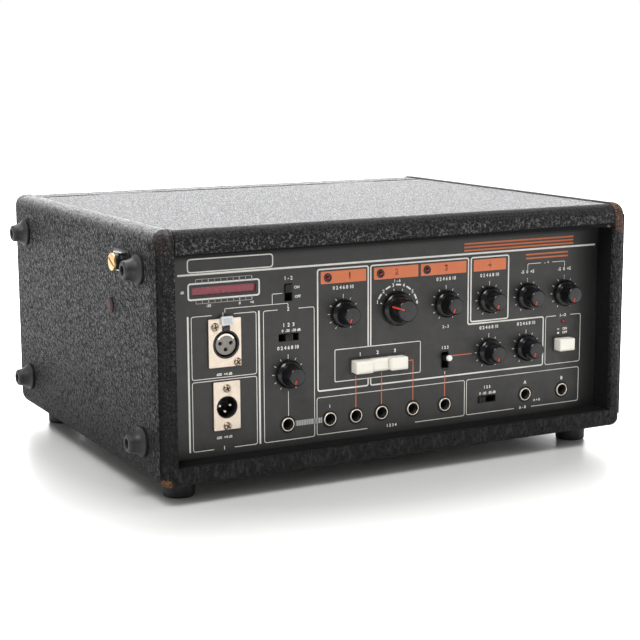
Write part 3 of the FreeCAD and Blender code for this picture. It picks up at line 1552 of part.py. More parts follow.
def rear():
    """The vented rear panel with the mains inlet and the fuse holder."""
    edge = f"({INNER} - panel_gap)"
    body = new_body("rear_panel")
    sketch = sketch_on(body, "XZ_Plane", "rear_panel")
    top = f"{LID_UNDER} - foot_height"
    outline(sketch, [(f"-{edge}", "floor_board"), (edge, "floor_board"), (edge, top), (f"-{edge}", top)])
    pad(body, sketch, "rear_thick", reverse=True)
    openings = sketch_on(body, "XZ_Plane", "rear_panel_openings")
    rectangle(openings, "inlet_x", "inlet_z", "inlet_wide", "inlet_high")
    circle(openings, "fuse_x", "inlet_z", "fuse_radius")
    pocket(body, openings)
    for side in (-1, 1):
        vents = sketch_on(body, "XZ_Plane", "rear_panel_vents")
        rectangle(vents, f"{side} * vent_x", "vent_z", "vent_long", "vent_high")
        first = pocket(body, vents)
        rows = body.newObject("PartDesign::LinearPattern", "vent_rows")
        rows.Originals = [first]
        rows.Direction = (vents, ["V_Axis"])
        rows.Reversed = True
        rows.setExpression("Length", rule("(vent_count - 1) * vent_pitch"))
        rows.setExpression("Occurrences", rule("vent_count"))
        body.Tip = rows
    node("rear_panel", put(body, y=REAR_INSIDE, z="foot_height"))

    z = "foot_height + inlet_z"
    flange = box("inlet_flange_plate", span("inlet_x", "inlet_flange_wide"),
                 (REAR_FACE, f"{REAR_FACE} + inlet_flange"), span(z, "inlet_flange_high"))
    well = box(
        "inlet_well",
        ("inlet_x - inlet_wide / 2 + panel_gap", "inlet_x + inlet_wide / 2 - panel_gap"),
        (f"{REAR_FACE} - inlet_deep", REAR_FACE),
        (f"{z} - inlet_high / 2 + panel_gap", f"{z} + inlet_high / 2 - panel_gap"),
    )
    mouth = box("inlet_mouth", span("inlet_x", "inlet_mouth_wide"),
                (f"{REAR_FACE} + inlet_flange - inlet_mouth_deep", f"{REAR_FACE} + inlet_flange"),
                span(z, "inlet_mouth_high"))
    blades = []
    for number, (dx, dz) in enumerate(
        (("-blade_spread", "-blade_offset"), ("0", "blade_offset"), ("blade_spread", "-blade_offset"))
    ):
        middle = f"inlet_x + {dx}"
        blades.append(
            box(
                f"inlet_blade_{number}",
                span(middle, "blade_wide"),
                (
                    f"{REAR_FACE} + inlet_flange - inlet_mouth_deep - overlap",
                    f"{REAR_FACE} + inlet_flange - inlet_mouth_deep + blade_long",
                ),
                span(f"{z} + {dz}", "blade_high"),
            ),
        )
    inlet = fuse("mains_inlet", cut("inlet_shell", fuse("inlet_solid", flange, well), mouth), *blades)
    holder = turned(
        "fuse_holder",
        [
            ("0", "-fuse_deep"),
            ("fuse_radius - panel_gap", "-fuse_deep"),
            ("fuse_radius - panel_gap", "0"),
            ("fuse_cap_radius", "0"),
            ("fuse_cap_radius", "fuse_cap_high - fuse_cap_bevel"),
            ("fuse_cap_radius - fuse_cap_bevel", "fuse_cap_high"),
            ("0", "fuse_cap_high"),
        ],
        "back",
        "fuse_x",
        REAR_FACE,
        z,
    )
    node("power_fittings", group("power_fittings", inlet, holder))


# ---------------------------------------------------------------- chassis and tape deck

def chassis():
    """A folded steel tray: a floor with front and rear flanges, and two walls that carry the deck."""
    half = f"({INNER} - chassis_gap)"
    body = new_body("chassis")
    tray = sketch_on(body, "YZ_Plane", "chassis_tray")
    outline(
        tray,
        [
            (BEHIND, FLOOR),
            (REAR_INSIDE, FLOOR),
            (REAR_INSIDE, f"{FLOOR} + front_flange"),
            (f"{REAR_INSIDE} - steel", f"{FLOOR} + front_flange"),
            (f"{REAR_INSIDE} - steel", f"{FLOOR} + steel"),
            (f"{BEHIND} + steel", f"{FLOOR} + steel"),
            (f"{BEHIND} + steel", f"{FLOOR} + front_flange"),
            (BEHIND, f"{FLOOR} + front_flange"),
        ],
    )
    floor_pad = pad(body, tray, f"2 * {half}")
    floor_pad.Midplane = True
    walls = sketch_on(body, "XZ_Plane", "chassis_walls")
    for side in ("", "-"):
        outline(
            walls,
            [
                (f"{side}{half}", FLOOR),
                (f"{side}{half}", DECK_UNDER),
                (f"{side}({half} - wall_flange)", DECK_UNDER),
                (f"{side}({half} - wall_flange)", f"{DECK_UNDER} - steel"),
                (f"{side}({half} - steel)", f"{DECK_UNDER} - steel"),
                (f"{side}({half} - steel)", FLOOR),
            ],
        )
    wall_pad = pad(body, walls, f"-{DECK_FRONT}", reverse=False)
    wall_pad.Type2 = "Length"
    wall_pad.SideType = "Two sides"
    wall_pad.setExpression("Length2", rule(DECK_BACK))
    node("chassis", body)


def deck():
    """The deck plate on the chassis walls, with the capstan's bearing and the pinch arm's post set in it."""
    body = plate(
        "deck_sheet",
        (f"-({INNER} - chassis_gap)", f"({INNER} - chassis_gap)"),
        (DECK_FRONT, DECK_BACK),
        DECK_UNDER,
        "deck_thick",
    )
    holes = sketch_on(body, "XY_Plane", "deck_holes")
    circle(holes, CAPSTAN_X, CAPSTAN_Y, "bearing_radius - overlap")
    circle(holes, PINCH_X, "pinch_y", "pinch_post - overlap")
    pocket(body, holes, reverse=True)
    bush = turned(
        "capstan_bearing",
        [
            ("capstan_radius + shaft_fit", "-bearing_low"),
            ("bearing_radius", "-bearing_low"),
            ("bearing_radius", "deck_thick + bearing_high"),
            ("capstan_radius + shaft_fit", "deck_thick + bearing_high"),
        ],
        "up",
        CAPSTAN_X,
        CAPSTAN_Y,
        DECK_UNDER,
    )
    post = rod(
        "pinch_post_rod",
        "up",
        PINCH_X,
        "pinch_y",
        DECK_UNDER,
        "pinch_post",
        "deck_thick + arm_lift + arm_thick + roller_lift",
    )
    node("deck_plate", fuse("deck_plate", body, bush, post))


def tape_parts():
    """The open tape bin, the loose loop of tape, and the block that holds its guides and heads."""
    floor_z = DECK_TOP
    outer = plate("bin_outer", (BIN_LEFT, BIN_RIGHT), ("bin_front", BIN_BACK), floor_z, "bin_high")
    rounded(outer, "bin_round", lambda edge: beyond(edge, "bin_front"))
    inner = plate(
        "bin_inner",
        (f"{BIN_LEFT} + bin_wall", f"{BIN_RIGHT} - bin_wall"),
        ("bin_front + bin_wall", f"{BIN_BACK} - bin_wall"),
        f"{floor_z} + bin_wall",
        "bin_high",
    )
    rounded(
        inner,
        "bin_round - bin_wall",
        lambda edge: beyond(edge, "bin_front + bin_wall"),
    )
    slots = [
        box(f"bin_slot_{number}", span(x, "bin_slot"), ("bin_front", "bin_front + 2 * bin_wall"),
            (f"{floor_z} + bin_wall", f"{floor_z} + bin_high"))
        for number, x in enumerate((TAPE_LEFT, TAPE_RIGHT))
    ]
    node("tape_bin", cut("tape_bin", outer, inner, *slots))

    low = f"{floor_z} + tape_rise"
    ribbon = []
    for tag, shift in (("outer", "tape_thick / 2"), ("inner", "-tape_thick / 2")):
        form = plate(
            f"tape_{tag}",
            (f"{TAPE_LEFT} - {shift}", f"{TAPE_RIGHT} + {shift}"),
            (f"tape_y - {shift}", f"{TAPE_BACK} + {shift}"),
            low,
            "tape_high",
        )
        middle = value(TAPE_BACK) / 2
        rounded(form, f"tape_turn + {shift}", lambda edge: along(edge, "z") and edge.BoundBox.YMin < middle)
        rounded(form, f"tape_bend + {shift}", lambda edge: along(edge, "z") and edge.BoundBox.YMin > middle)
        ribbon.append(form)
    node("tape_loop", cut("tape_loop", *ribbon))

    block = box(
        "block_plate",
        (f"-{INNER} + block_inset_left", f"{INNER} - block_inset_right"),
        ("block_front", "block_back"),
        (floor_z, f"{floor_z} + block_thick"),
    )
    top = f"{floor_z} + block_thick"
    left_guide = rod(
        "guide_left", "up", f"{TAPE_LEFT} + tape_turn", "tape_y + tape_turn", top, GUIDE_RADIUS, "guide_rise"
    )
    right_base = rod(
        "guide_right_base",
        "up",
        f"{TAPE_RIGHT} - tape_turn",
        "tape_y + tape_turn",
        floor_z,
        "guide_base",
        "block_thick",
    )
    right_guide = rod(
        "guide_right",
        "up",
        f"{TAPE_RIGHT} - tape_turn",
        "tape_y + tape_turn",
        top,
        GUIDE_RADIUS,
        "guide_rise",
    )
    node(
        "head_block",
        group(
            "head_block",
            fuse("block_left_part", block, left_guide),
            fuse("block_right_part", right_base, right_guide),
        ),
    )

    face = "tape_y - tape_thick / 2 - path_gap"
    heads = []
    middles = ["erase_x", "record_x"] + [f"play_x + {number} * play_pitch" for number in range(3)]
    for number, x in enumerate(middles, start=1):
        head = plate(f"head_{number}", span(x, "head_wide"), (f"{face} - head_deep", face), top, "head_tall")
        rounded(head, "head_round", lambda edge: beyond(edge, f"{face} - head_round"))
        heads.append(head)
    node("tape_heads", group("tape_heads", *heads))


def drive():
    """The capstan with its flywheel, the motor with its pulley and the belt between them."""
    shaft = turned(
        "capstan_shaft",
        [
            ("0", f"-{WHEEL_LOW} - capstan_tail"),
            ("capstan_radius", f"-{WHEEL_LOW} - capstan_tail"),
            ("capstan_radius", "capstan_top - rim_edge"),
            ("capstan_radius - rim_edge", "capstan_top"),
            ("0", "capstan_top"),
        ],
    )
    wheel = turned(
        "flywheel",
        [
            ("capstan_radius", f"-{WHEEL_LOW}"),
            ("flywheel_radius - rim_edge", f"-{WHEEL_LOW}"),
            ("flywheel_radius", f"rim_edge - {WHEEL_LOW}"),
            ("flywheel_radius", f"flywheel_thick - rim_edge - {WHEEL_LOW}"),
            ("flywheel_radius - rim_edge", f"flywheel_thick - {WHEEL_LOW}"),
            ("hub_radius", f"flywheel_thick - {WHEEL_LOW}"),
            ("hub_radius", "-bearing_low - path_gap"),
            ("capstan_radius", "-bearing_low - path_gap"),
        ],
    )
    node("capstan", put(group("capstan", shaft, wheel), CAPSTAN_X, CAPSTAN_Y, DECK_UNDER))

    node(
        "drive_motor",
        turned(
            "drive_motor",
            [
                ("motor_shaft + shaft_fit", "-motor_tall"),
                ("motor_radius - 2 * rim_edge", "-motor_tall"),
                ("motor_radius", "2 * rim_edge - motor_tall"),
                ("motor_radius", "0"),
                ("0", "0"),
                ("0", "motor_hole - motor_tall"),
                ("motor_shaft + shaft_fit", "motor_hole - motor_tall"),
            ],
            "up",
            "motor_x",
            "motor_y",
            DECK_UNDER,
        ),
    )
    low = f"-{WHEEL_LOW}"
    pulley = turned(
        "pulley_wheel",
        [
            ("motor_shaft", low),
            ("pulley_radius - rim_edge", low),
            ("pulley_radius", f"{low} + rim_edge"),
            ("pulley_radius", f"{low} + flywheel_thick - rim_edge"),
            ("pulley_radius - rim_edge", f"{low} + flywheel_thick"),
            ("motor_shaft", f"{low} + flywheel_thick"),
        ],
    )
    spindle = turned("motor_spindle", [
        ("0", f"{low} - rim_edge"), ("motor_shaft", f"{low} - rim_edge"),
        ("motor_shaft", "motor_hole - motor_tall - path_gap"), ("0", "motor_hole - motor_tall - path_gap"),
    ])
    node("motor_pulley", put(group("motor_pulley", pulley, spindle), "motor_x", "motor_y", DECK_UNDER))
    node("drive_belt", drive_belt())


def belt_face(shift):
    """The face inside the belt's line round both wheels, moved out by a length."""
    wheel = Vector(value(CAPSTAN_X), value(CAPSTAN_Y), 0)
    small = Vector(value("motor_x"), value("motor_y"), 0)
    wheel_radius = value("flywheel_radius + path_gap") + shift
    small_radius = value("pulley_radius + path_gap") + shift
    line = small - wheel
    heading = math.atan2(line.y, line.x)
    lean = math.acos((wheel_radius - small_radius) / line.Length)

    def rim(centre, radius, angle):
        return centre + Vector(math.cos(angle), math.sin(angle), 0) * radius

    high, low = heading + lean, heading - lean
    edges = [
        Part.Arc(
            rim(wheel, wheel_radius, high),
            rim(wheel, wheel_radius, heading + math.pi),
            rim(wheel, wheel_radius, low),
        ).toShape(),
        Part.LineSegment(rim(wheel, wheel_radius, low), rim(small, small_radius, low)).toShape(),
        Part.Arc(
            rim(small, small_radius, low), rim(small, small_radius, heading), rim(small, small_radius, high)
        ).toShape(),
        Part.LineSegment(rim(small, small_radius, high), rim(wheel, wheel_radius, high)).toShape(),
    ]
    return Part.Face(Part.Wire(edges))


def drive_belt():
    """A flat belt that wraps two wheels of different size, which no primitive or sketch rule gives."""
    belt = doc.addObject("Part::Feature", "drive_belt")
    band = belt_face(value("belt_thick")).cut(belt_face(0))
    belt.Shape = band.extrude(Vector(0, 0, value("belt_high")))
    return put(belt, z=f"{FLYWHEEL_LOW} + (flywheel_thick - belt_high) / 2")


def pinch():
    """The pinch arm on its post, swung clear of the capstan, and the rubber roller on its pin."""
    low = f"{DECK_TOP} + arm_lift"
    hub = rod("arm_hub", "up", "0", "0", "0", "pinch_hub", "arm_thick + roller_lift - roller_clear")
    beam = box(
        "arm_beam",
        ("0", "pinch_arm"),
        ("-pinch_hub * dome_share", "pinch_hub * dome_share"),
        ("0", "arm_thick"),
    )
    end = rod("arm_end", "up", "pinch_arm", "0", "0", "pinch_hub", "arm_thick")
    pin = rod("arm_pin", "up", "pinch_arm", "0", "0", "roller_pin", "roller_lift + roller_high")
    bore = rod("arm_bore", "up", "0", "0", "0", "pinch_post + shaft_fit", "arm_thick + roller_lift")
    arm = cut("pinch_arm", fuse("arm_body", hub, beam, end, pin), bore)
    arm.Placement.Rotation = Rotation(Vector(0, 0, 1), value("pinch_angle"))
    node("pinch_arm", put(arm, PINCH_X, "pinch_y", low))
    roller = turned(
        "pinch_roller",
        [
            ("roller_pin + shaft_fit", "0"),
            ("roller_radius - rim_edge", "0"),
            ("roller_radius", "rim_edge"),
            ("roller_radius", "roller_high - rim_edge"),
            ("roller_radius - rim_edge", "roller_high"),
            ("roller_pin + shaft_fit", "roller_high"),
        ],
        "up",
        f"{PINCH_X} + pinch_arm * cos(pinch_angle)",
        "pinch_y + pinch_arm * sin(pinch_angle)",
        f"{low} + roller_lift - roller_clear",
    )
    node("pinch_roller", roller)
    z = f"{DECK_TOP} + coil_high / 2"
    coil = box(
        "coil_frame",
        (COIL_X, f"{COIL_X} + coil_long"),
        (COIL_Y, f"{COIL_Y} + coil_wide"),
        (DECK_TOP, f"{DECK_TOP} + coil_high"),
    )
    plunger = rod(
        "coil_plunger", "left", COIL_X, f"{COIL_Y} + coil_wide / 2", z, "plunger_radius", "plunger_out"
    )
    node("solenoid", fuse("solenoid", coil, plunger))


# ---------------------------------------------------------------- electronics

def electronics():
    """The main circuit board on its posts, the power transformer and the spring reverb tank."""
    base = f"{FLOOR} + steel"
    low = f"{base} + board_lift"
    pieces = [
        box(
            "board_sheet",
            (BOARD_LEFT, BOARD_RIGHT),
            (BOARD_FRONT, BOARD_BACK),
            (low, f"{low} + board_thick"),
        ),
    ]
    for x in (f"{BOARD_LEFT} + post_inset", f"{BOARD_RIGHT} - post_inset"):
        for y in (f"{BOARD_FRONT} + post_inset", f"{BOARD_BACK} - post_inset"):
            pieces.append(rod("board_post", "up", x, y, base, "post_radius", "board_lift"))
    for column in range(SIZES["chip_columns"]):
        for line in range(SIZES["chip_rows"]):
            x = f"{BOARD_LEFT} + {column + 1} * ({BOARD_RIGHT} - {BOARD_LEFT}) / (chip_columns + 1)"
            y = f"{BOARD_FRONT} + {line + 1} * ({BOARD_BACK} - {BOARD_FRONT}) / (chip_rows + 1)"
            top = f"{low} + board_thick"
            pieces.append(box("board_chip", span(x, "chip_long"), span(y, "chip_wide"),
                              (top, f"{top} + chip_high")))
    node("main_board", fuse("main_board", *pieces))

    core = box("transformer_core", span(CORE_X, "core_long"), span(CORE_Y, "core_wide"),
               (base, f"{base} + core_high"))
    winding = box(
        "transformer_winding",
        (f"{CORE_X} - core_long / 2 + winding_inset", f"{CORE_X} + core_long / 2 - winding_inset"),
        (f"{CORE_Y} - core_wide / 2 - winding_out", f"{CORE_Y} + core_wide / 2 + winding_out"),
        (f"{base} + winding_inset", f"{base} + core_high - winding_inset"),
    )
    node("power_transformer", fuse("power_transformer", core, winding))

    shell = box(
        "tank_shell",
        (TANK_LEFT, TANK_RIGHT),
        (TANK_FRONT, TANK_BACK),
        (base, f"{base} + tank_high"),
    )
    hollow = box(
        "tank_hollow",
        (f"{TANK_LEFT} + steel", f"{TANK_RIGHT} - steel"),
        (f"{TANK_FRONT} + steel", f"{TANK_BACK} - steel"),
        (f"{base} + steel", f"{base} + tank_high"),
    )
    springs = []
    for number in range(SIZES["tank_spring_count"]):
        y = f"({TANK_FRONT} + {TANK_BACK}) / 2 + {number - 1} * tank_spring_pitch"
        springs.append(
            rod(
                f"tank_spring_{number}",
                "right",
                f"{TANK_LEFT} + steel",
                y,
                f"{base} + tank_high / 2",
                "tank_spring_radius",
                f"{TANK_RIGHT} - {TANK_LEFT} - 2 * steel",
            ),
        )
    node("reverb_tank", group("reverb_tank", cut("tank_tray", shell, hollow), *springs))


def export():
    """Recompute, refuse anything that failed, and write one STEP file for each sub-part."""
    doc.recompute()
    failed = [item.Name for item in doc.Objects if "Invalid" in item.State or "Error" in item.State]
    failed += [name for name, item in nodes.items() if item.Shape.isNull() or not item.Shape.isValid()]
    if failed:
        raise ValueError(f"failed: {failed}")
    os.makedirs("parts", exist_ok=True)
    for name, item in nodes.items():
        item.Shape.exportStep(os.path.join("parts", f"{name}.step"))
    print(len(nodes), "sub-parts written")


side_panel("side_panel_left", -1)
side_panel("side_panel_right", 1)
bottom_board()
rear_rail()
top_lid()
hinges()
rubber_feet()
lid_lock()
handle()
front_panel()
knobs()
potentiometers()
switches()
xlr_connectors()
jack_sockets()
meter_and_lamps()
rear()
chassis()
deck()
tape_parts()
drive()
pinch()
electronics()
export()
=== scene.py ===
"""Looks of the tape echo unit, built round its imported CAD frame.

Shapes are laid out in millimetres and turned into metres when a piece is made. Places on the control
panel are given from the middle of the case (x) and from its underside (z), as a fitter would measure them.
"""
import json
import math

import bmesh
import bpy
from mathutils import Matrix, Vector, noise
from mathutils.geometry import tessellate_polygon


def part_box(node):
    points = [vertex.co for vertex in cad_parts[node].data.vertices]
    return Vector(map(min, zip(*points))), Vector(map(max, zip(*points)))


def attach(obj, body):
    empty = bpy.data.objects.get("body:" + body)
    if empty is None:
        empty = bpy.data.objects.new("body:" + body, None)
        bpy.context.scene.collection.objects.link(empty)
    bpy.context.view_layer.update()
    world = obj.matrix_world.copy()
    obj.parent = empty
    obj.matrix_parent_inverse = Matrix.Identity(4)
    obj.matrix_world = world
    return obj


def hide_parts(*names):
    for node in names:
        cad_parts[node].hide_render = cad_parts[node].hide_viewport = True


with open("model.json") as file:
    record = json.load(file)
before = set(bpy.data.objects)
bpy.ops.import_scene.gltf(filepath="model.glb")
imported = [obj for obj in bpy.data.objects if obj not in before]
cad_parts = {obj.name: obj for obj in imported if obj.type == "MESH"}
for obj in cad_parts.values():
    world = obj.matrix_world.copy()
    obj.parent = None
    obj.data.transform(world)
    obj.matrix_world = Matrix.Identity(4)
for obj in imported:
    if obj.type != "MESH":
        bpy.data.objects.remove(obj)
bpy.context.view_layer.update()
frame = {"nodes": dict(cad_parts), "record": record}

MM = 0.001
TINY = 1e-6


# ---------------------------------------------------------------- places read from the frame

def corners(node):
    """The low and high corners of a CAD node, in millimetres."""
    low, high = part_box(node)
    return Vector(low) / MM, Vector(high) / MM


def at(x, y, z=0.0):
    """A shift, in millimetres."""
    return Matrix.Translation((x, y, z))


def turned(angle, axis):
    """A turn about an axis, in degrees."""
    return Matrix.Rotation(math.radians(angle), 4, axis)


SOLE = corners("bottom_board")[0].z
FACE = corners("front_panel")[0].y
PANEL_LOW = corners("front_panel")[0].z - SOLE
PANEL_RIGHT = corners("front_panel")[1].x
CASE_LEFT = corners("side_panel_left")[0].x
CASE_RIGHT = corners("side_panel_right")[1].x
CASE_FRONT, CASE_BACK = (corner.y for corner in corners("side_panel_left"))
CASE_TOP = corners("side_panel_left")[1].z
WALL = corners("side_panel_right")[0].x
LID_LOW, LID_TOP = (corner.z for corner in corners("top_lid"))
OUTWARD, RIGHTWARD, BACKWARD = turned(-90, "Y"), turned(90, "Y"), turned(-90, "X")
PANEL = at(0, FACE, SOLE) @ turned(90, "X")


def spot(node):
    """A node's middle on the panel: x, and z above the case's underside."""
    low, high = corners(node)
    return (low.x + high.x) / 2, (low.z + high.z) / 2 - SOLE


def on_panel(x, z, turn=0.0):
    """The panel's frame moved to a spot and turned clockwise by degrees, as seen from the front."""
    return PANEL @ at(x, z) @ turned(-turn, "Z")


# ---------------------------------------------------------------- outlines

def round_points(x, y, radius, count):
    """Points round a whole circle."""
    return [
        (x + radius * math.cos(step * math.tau / count), y + radius * math.sin(step * math.tau / count))
        for step in range(count)
    ]


def round_line(x, y, radius, count=48):
    """A circle that can be grown."""
    return lambda grow=0.0: round_points(x, y, radius + grow, count)


def pane_line(x, y, wide, high, corner=0.0, count=6):
    """A rectangle with rounded corners that can be grown."""
    def points(grow=0.0):
        radius = max(corner + grow, TINY)
        across, up = wide / 2 + grow - radius, high / 2 + grow - radius
        line = []
        for quarter, (side, rise) in enumerate(((1, 1), (-1, 1), (-1, -1), (1, -1))):
            for step in range(count + 1):
                angle = (quarter + step / count) * math.pi / 2
                line.append((
                    x + side * across + radius * math.cos(angle),
                    y + rise * up + radius * math.sin(angle),
                ))
        return line
    return points


def cross_line(x, y, reach, wide, turn=0.0):
    """The outline of a cross that can be grown."""
    def points(grow=0.0):
        far, near = reach + grow, wide / 2 + grow
        arm = [(far, -near), (far, near), (near, near)]
        line = []
        for quarter in range(4):
            angle = quarter * math.pi / 2 + math.radians(turn)
            line += [
                (x + a * math.cos(angle) - b * math.sin(angle), y + a * math.sin(angle) + b * math.cos(angle))
                for a, b in arm
            ]
        return line
    return points


def soften(profile, reach, count=4):
    """A profile with each of its inner corners rounded."""
    line = [Vector(profile[0])]
    for before, corner, after in zip(profile, profile[1:], profile[2:]):
        before, corner, after = Vector(before), Vector(corner), Vector(after)
        back, on = before - corner, after - corner
        length = min(reach, back.length / 2, on.length / 2)
        start, end = corner + back.normalized() * length, corner + on.normalized() * length
        for step in range(count + 1):
            share = step / count
            line.append(start.lerp(corner, share).lerp(corner.lerp(end, share), share))
    line.append(Vector(profile[-1]))
    return line


def arc(x, y, radius, start, end, count=24):
    """Points along an arc, with its angles counted clockwise from the top."""
    angles = [math.radians(start + (end - start) * step / count) for step in range(count + 1)]
    return [(x + radius * math.sin(angle), y + radius * math.cos(angle)) for angle in angles]


# ---------------------------------------------------------------- solid forms

CAP_SHARE = 0.7
SHARPEST_MITRE = 0.3


def shown(name, data):
    """An object of the scene that shows some data."""
    item = bpy.data.objects.new(name, data)
    bpy.context.scene.collection.objects.link(item)
    return item


class Form:
    """Geometry gathered in millimetres, which becomes one piece of the scene."""

    def __init__(self, place=Matrix()):
        self.mesh = bmesh.new()
        self.place = place
        self.paints = []

    def add(self, points, faces, paint, place=Matrix()):
        if paint not in self.paints:
            self.paints.append(paint)
        slot = self.paints.index(paint)
        made = [self.mesh.verts.new(self.place @ place @ Vector(point)) for point in points]
        for face in faces:
            self.mesh.faces.new([made[index] for index in face]).material_index = slot

    def lathe(self, profile, paint, place=Matrix(), soft=0.0, count=48):
        """A turned solid about its own z, from a profile of radius and height with soft corners."""
        points, faces, rings = [], [], []
        profile = soften(profile, soft) if soft else profile
        for radius, height in profile:
            steps = 1 if radius < TINY else count
            rings.append([len(points) + step for step in range(steps)])
            points += [(x, y, height) for x, y in round_points(0, 0, radius, steps)]
        for low, high in zip(rings, rings[1:]):
            for step in range(count):
                below, above = ([ring[turn % len(ring)] for turn in (step, step + 1)] for ring in (low, high))
                loop = list(dict.fromkeys(below + above[::-1]))
                if len(loop) > 2:
                    faces.append(loop)
        self.add(points, faces, paint, place)

    def rod(self, radius, low, high, paint, place=Matrix(), soft=0.0, count=48):
        """A plain round bar between two heights."""
        self.lathe([(0, low), (radius, low), (radius, high), (0, high)], paint, place, soft, count)

    def slab(self, outer, low, high, paint, holes=(), bevel=0.0, place=Matrix(), count=3):
        """A plate with holes between two heights, its upper edges rounded by the bevel."""
        levels = [(0.0, low), (0.0, high)]
        if bevel:
            angles = [step * math.pi / 2 / count for step in range(count + 1)]
            levels[1:] = [
                (bevel * (1 - math.cos(angle)), high - bevel * (1 - math.sin(angle))) for angle in angles
            ]
        points, faces, ends = [], [], []
        for number, line in enumerate((outer, *holes)):
            way = 1 if number else -1
            loops = []
            for inset, height in levels:
                flat = line(way * inset)
                loops.append([len(points) + step for step in range(len(flat))])
                points += [(x, y, height) for x, y in flat]
            size = len(loops[0])
            for below, above in zip(loops, loops[1:]):
                faces += [
                    [below[step], below[(step + 1) % size], above[(step + 1) % size], above[step]]
                    for step in range(size)
                ]
            ends.append((loops[0], loops[-1]))
        for end in (0, 1):
            order = [index for loops in ends for index in loops[end]]
            flat = [[Vector(points[index]) for index in loops[end]] for loops in ends]
            faces += [[order[index] for index in face] for face in tessellate_polygon(flat)]
        self.add(points, faces, paint, place)

    def block(self, low, high, paint, bevel=0.0, place=Matrix(), count=2):
        """A box between two corners with all of its edges rounded."""
        middle = [(a + b) / 2 for a, b in zip(low, high)]
        size = [b - a for a, b in zip(low, high)]
        part = bmesh.new()
        bmesh.ops.create_cube(part, size=1.0, matrix=at(*middle) @ Matrix.Diagonal((*size, 1)))
        if bevel:
            bmesh.ops.bevel(
                part, geom=part.edges[:], offset=bevel, segments=count, profile=0.5, affect="EDGES"
            )
        part.verts.index_update()
        points = [vertex.co.copy() for vertex in part.verts]
        faces = [[vertex.index for vertex in face.verts] for face in part.faces]
        part.free()
        self.add(points, faces, paint, place)

    def ribbon(self, line, wide, paint, low, high, closed=False, lift=None):
        """A raised stroke of one width along a line, with mitred corners, raised by a lift at each point."""
        path = [Vector(point) for point in line]
        last = len(path) - 1
        sides = []
        for index, point in enumerate(path):
            before = path[index - 1] if index or closed else point
            after = path[(index + 1) % len(path)] if index < last or closed else point
            back = (point - before).normalized() if point != before else (after - point).normalized()
            on = (after - point).normalized() if after != point else back
            normal = Vector((-back.y - on.y, back.x + on.x)).normalized()
            reach = wide / 2 / max(normal.dot(Vector((-back.y, back.x))), SHARPEST_MITRE)
            sides.append((point + normal * reach, point - normal * reach))
        rises = [lift(point) if lift else 0.0 for point in path]
        points = [
            (*side, height + rise)
            for pair, rise in zip(sides, rises) for side in pair for height in (low, high)
        ]
        faces = []
        spans = range(len(path)) if closed else range(last)
        for index in spans:
            here, there = index * 4, (index + 1) % len(path) * 4
            faces += [
                [here + 1, there + 1, there + 3, here + 3], [here, here + 2, there + 2, there],
                [here, there, there + 1, here + 1], [here + 2, here + 3, there + 3, there + 2],
            ]
        if not closed:
            end = last * 4
            faces += [[0, 1, 3, 2], [end, end + 2, end + 3, end + 1]]
        self.add(points, faces, paint)

    def write(self, text, x, y, size, paint, high, bold):
        """Raised generic figures about a middle, as tall as the size."""
        curve = bpy.data.curves.new("figures", "FONT")
        curve.body = text
        curve.align_x, curve.align_y = "CENTER", "CENTER"
        curve.resolution_u = 3
        curve.offset = bold
        curve.extrude = 0.5
        carrier = bpy.data.objects.new("figures", curve)
        bpy.context.scene.collection.objects.link(carrier)
        mesh = bpy.data.meshes.new_from_object(carrier.evaluated_get(bpy.context.evaluated_depsgraph_get()))
        bpy.data.objects.remove(carrier)
        cap = size / CAP_SHARE
        points = [(x + v.co.x * cap, y + v.co.y * cap, 0.0 if v.co.z < 0 else high) for v in mesh.vertices]
        faces = [list(polygon.vertices) for polygon in mesh.polygons]
        bpy.data.meshes.remove(mesh)
        self.add(points, faces, paint)

    def piece(self, name, body, slot, *nodes, sharp=35.0):
        """Make the piece, set it to ride on a body and let it stand for CAD nodes."""
        bmesh.ops.remove_doubles(self.mesh, verts=self.mesh.verts[:], dist=1e-5)
        bmesh.ops.recalc_face_normals(self.mesh, faces=self.mesh.faces[:])
        bmesh.ops.scale(self.mesh, vec=(MM, MM, MM), verts=self.mesh.verts[:])
        mesh = bpy.data.meshes.new(name)
        self.mesh.to_mesh(mesh)
        self.mesh.free()
        mesh.shade_smooth()
        mesh.set_sharp_from_angle(angle=math.radians(sharp))
        for paint in self.paints:
            mesh.materials.append(paint)
        item = shown(name, mesh)
        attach(item, body)
        if nodes:
            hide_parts(*nodes)


# ---------------------------------------------------------------- finishes

class Nodes:
    """A node tree, with a short call for each kind of node in it."""

    def __init__(self, tree):
        self.tree = tree

    def node(self, kind, **settings):
        made = self.tree.nodes.new(kind)
        for key, setting in settings.items():
            setattr(made, key, setting)
        return made

    def link(self, source, socket):
        """Join an output to a socket, or set the socket to a plain value."""
        if isinstance(source, bpy.types.NodeSocket):
            self.tree.links.new(source, socket)
        else:
            socket.default_value = source

    def feed(self, made, **sources):
        """Link or set a node's inputs by their names, and give its outputs."""
        for name, source in sources.items():
            self.link(source, made.inputs[name.replace("_", " ")])
        return made.outputs

    def math(self, operation, first, second=0.0):
        made = self.node("ShaderNodeMath", operation=operation)
        self.link(first, made.inputs[0])
        self.link(second, made.inputs[1])
        return made.outputs[0]

    def both(self, first, second):
        """The share of a place that is in one pattern and in another too."""
        return self.math("MULTIPLY", first, second)

    def ramp(self, source, low, high, start=0.0, end=1.0):
        """A source between two values stretched to run from start to end."""
        made = self.node("ShaderNodeMapRange", clamp=True)
        return self.feed(made, Value=source, From_Min=low, From_Max=high, To_Min=start, To_Max=end)["Result"]

    def seen(self):
        """One for the rays that show the background, nought for the rest."""
        path = self.node("ShaderNodeLightPath").outputs
        share = self.math("MAXIMUM", path["Is Camera Ray"], path["Is Glossy Ray"])
        return self.math("MAXIMUM", share, path["Is Transmission Ray"])


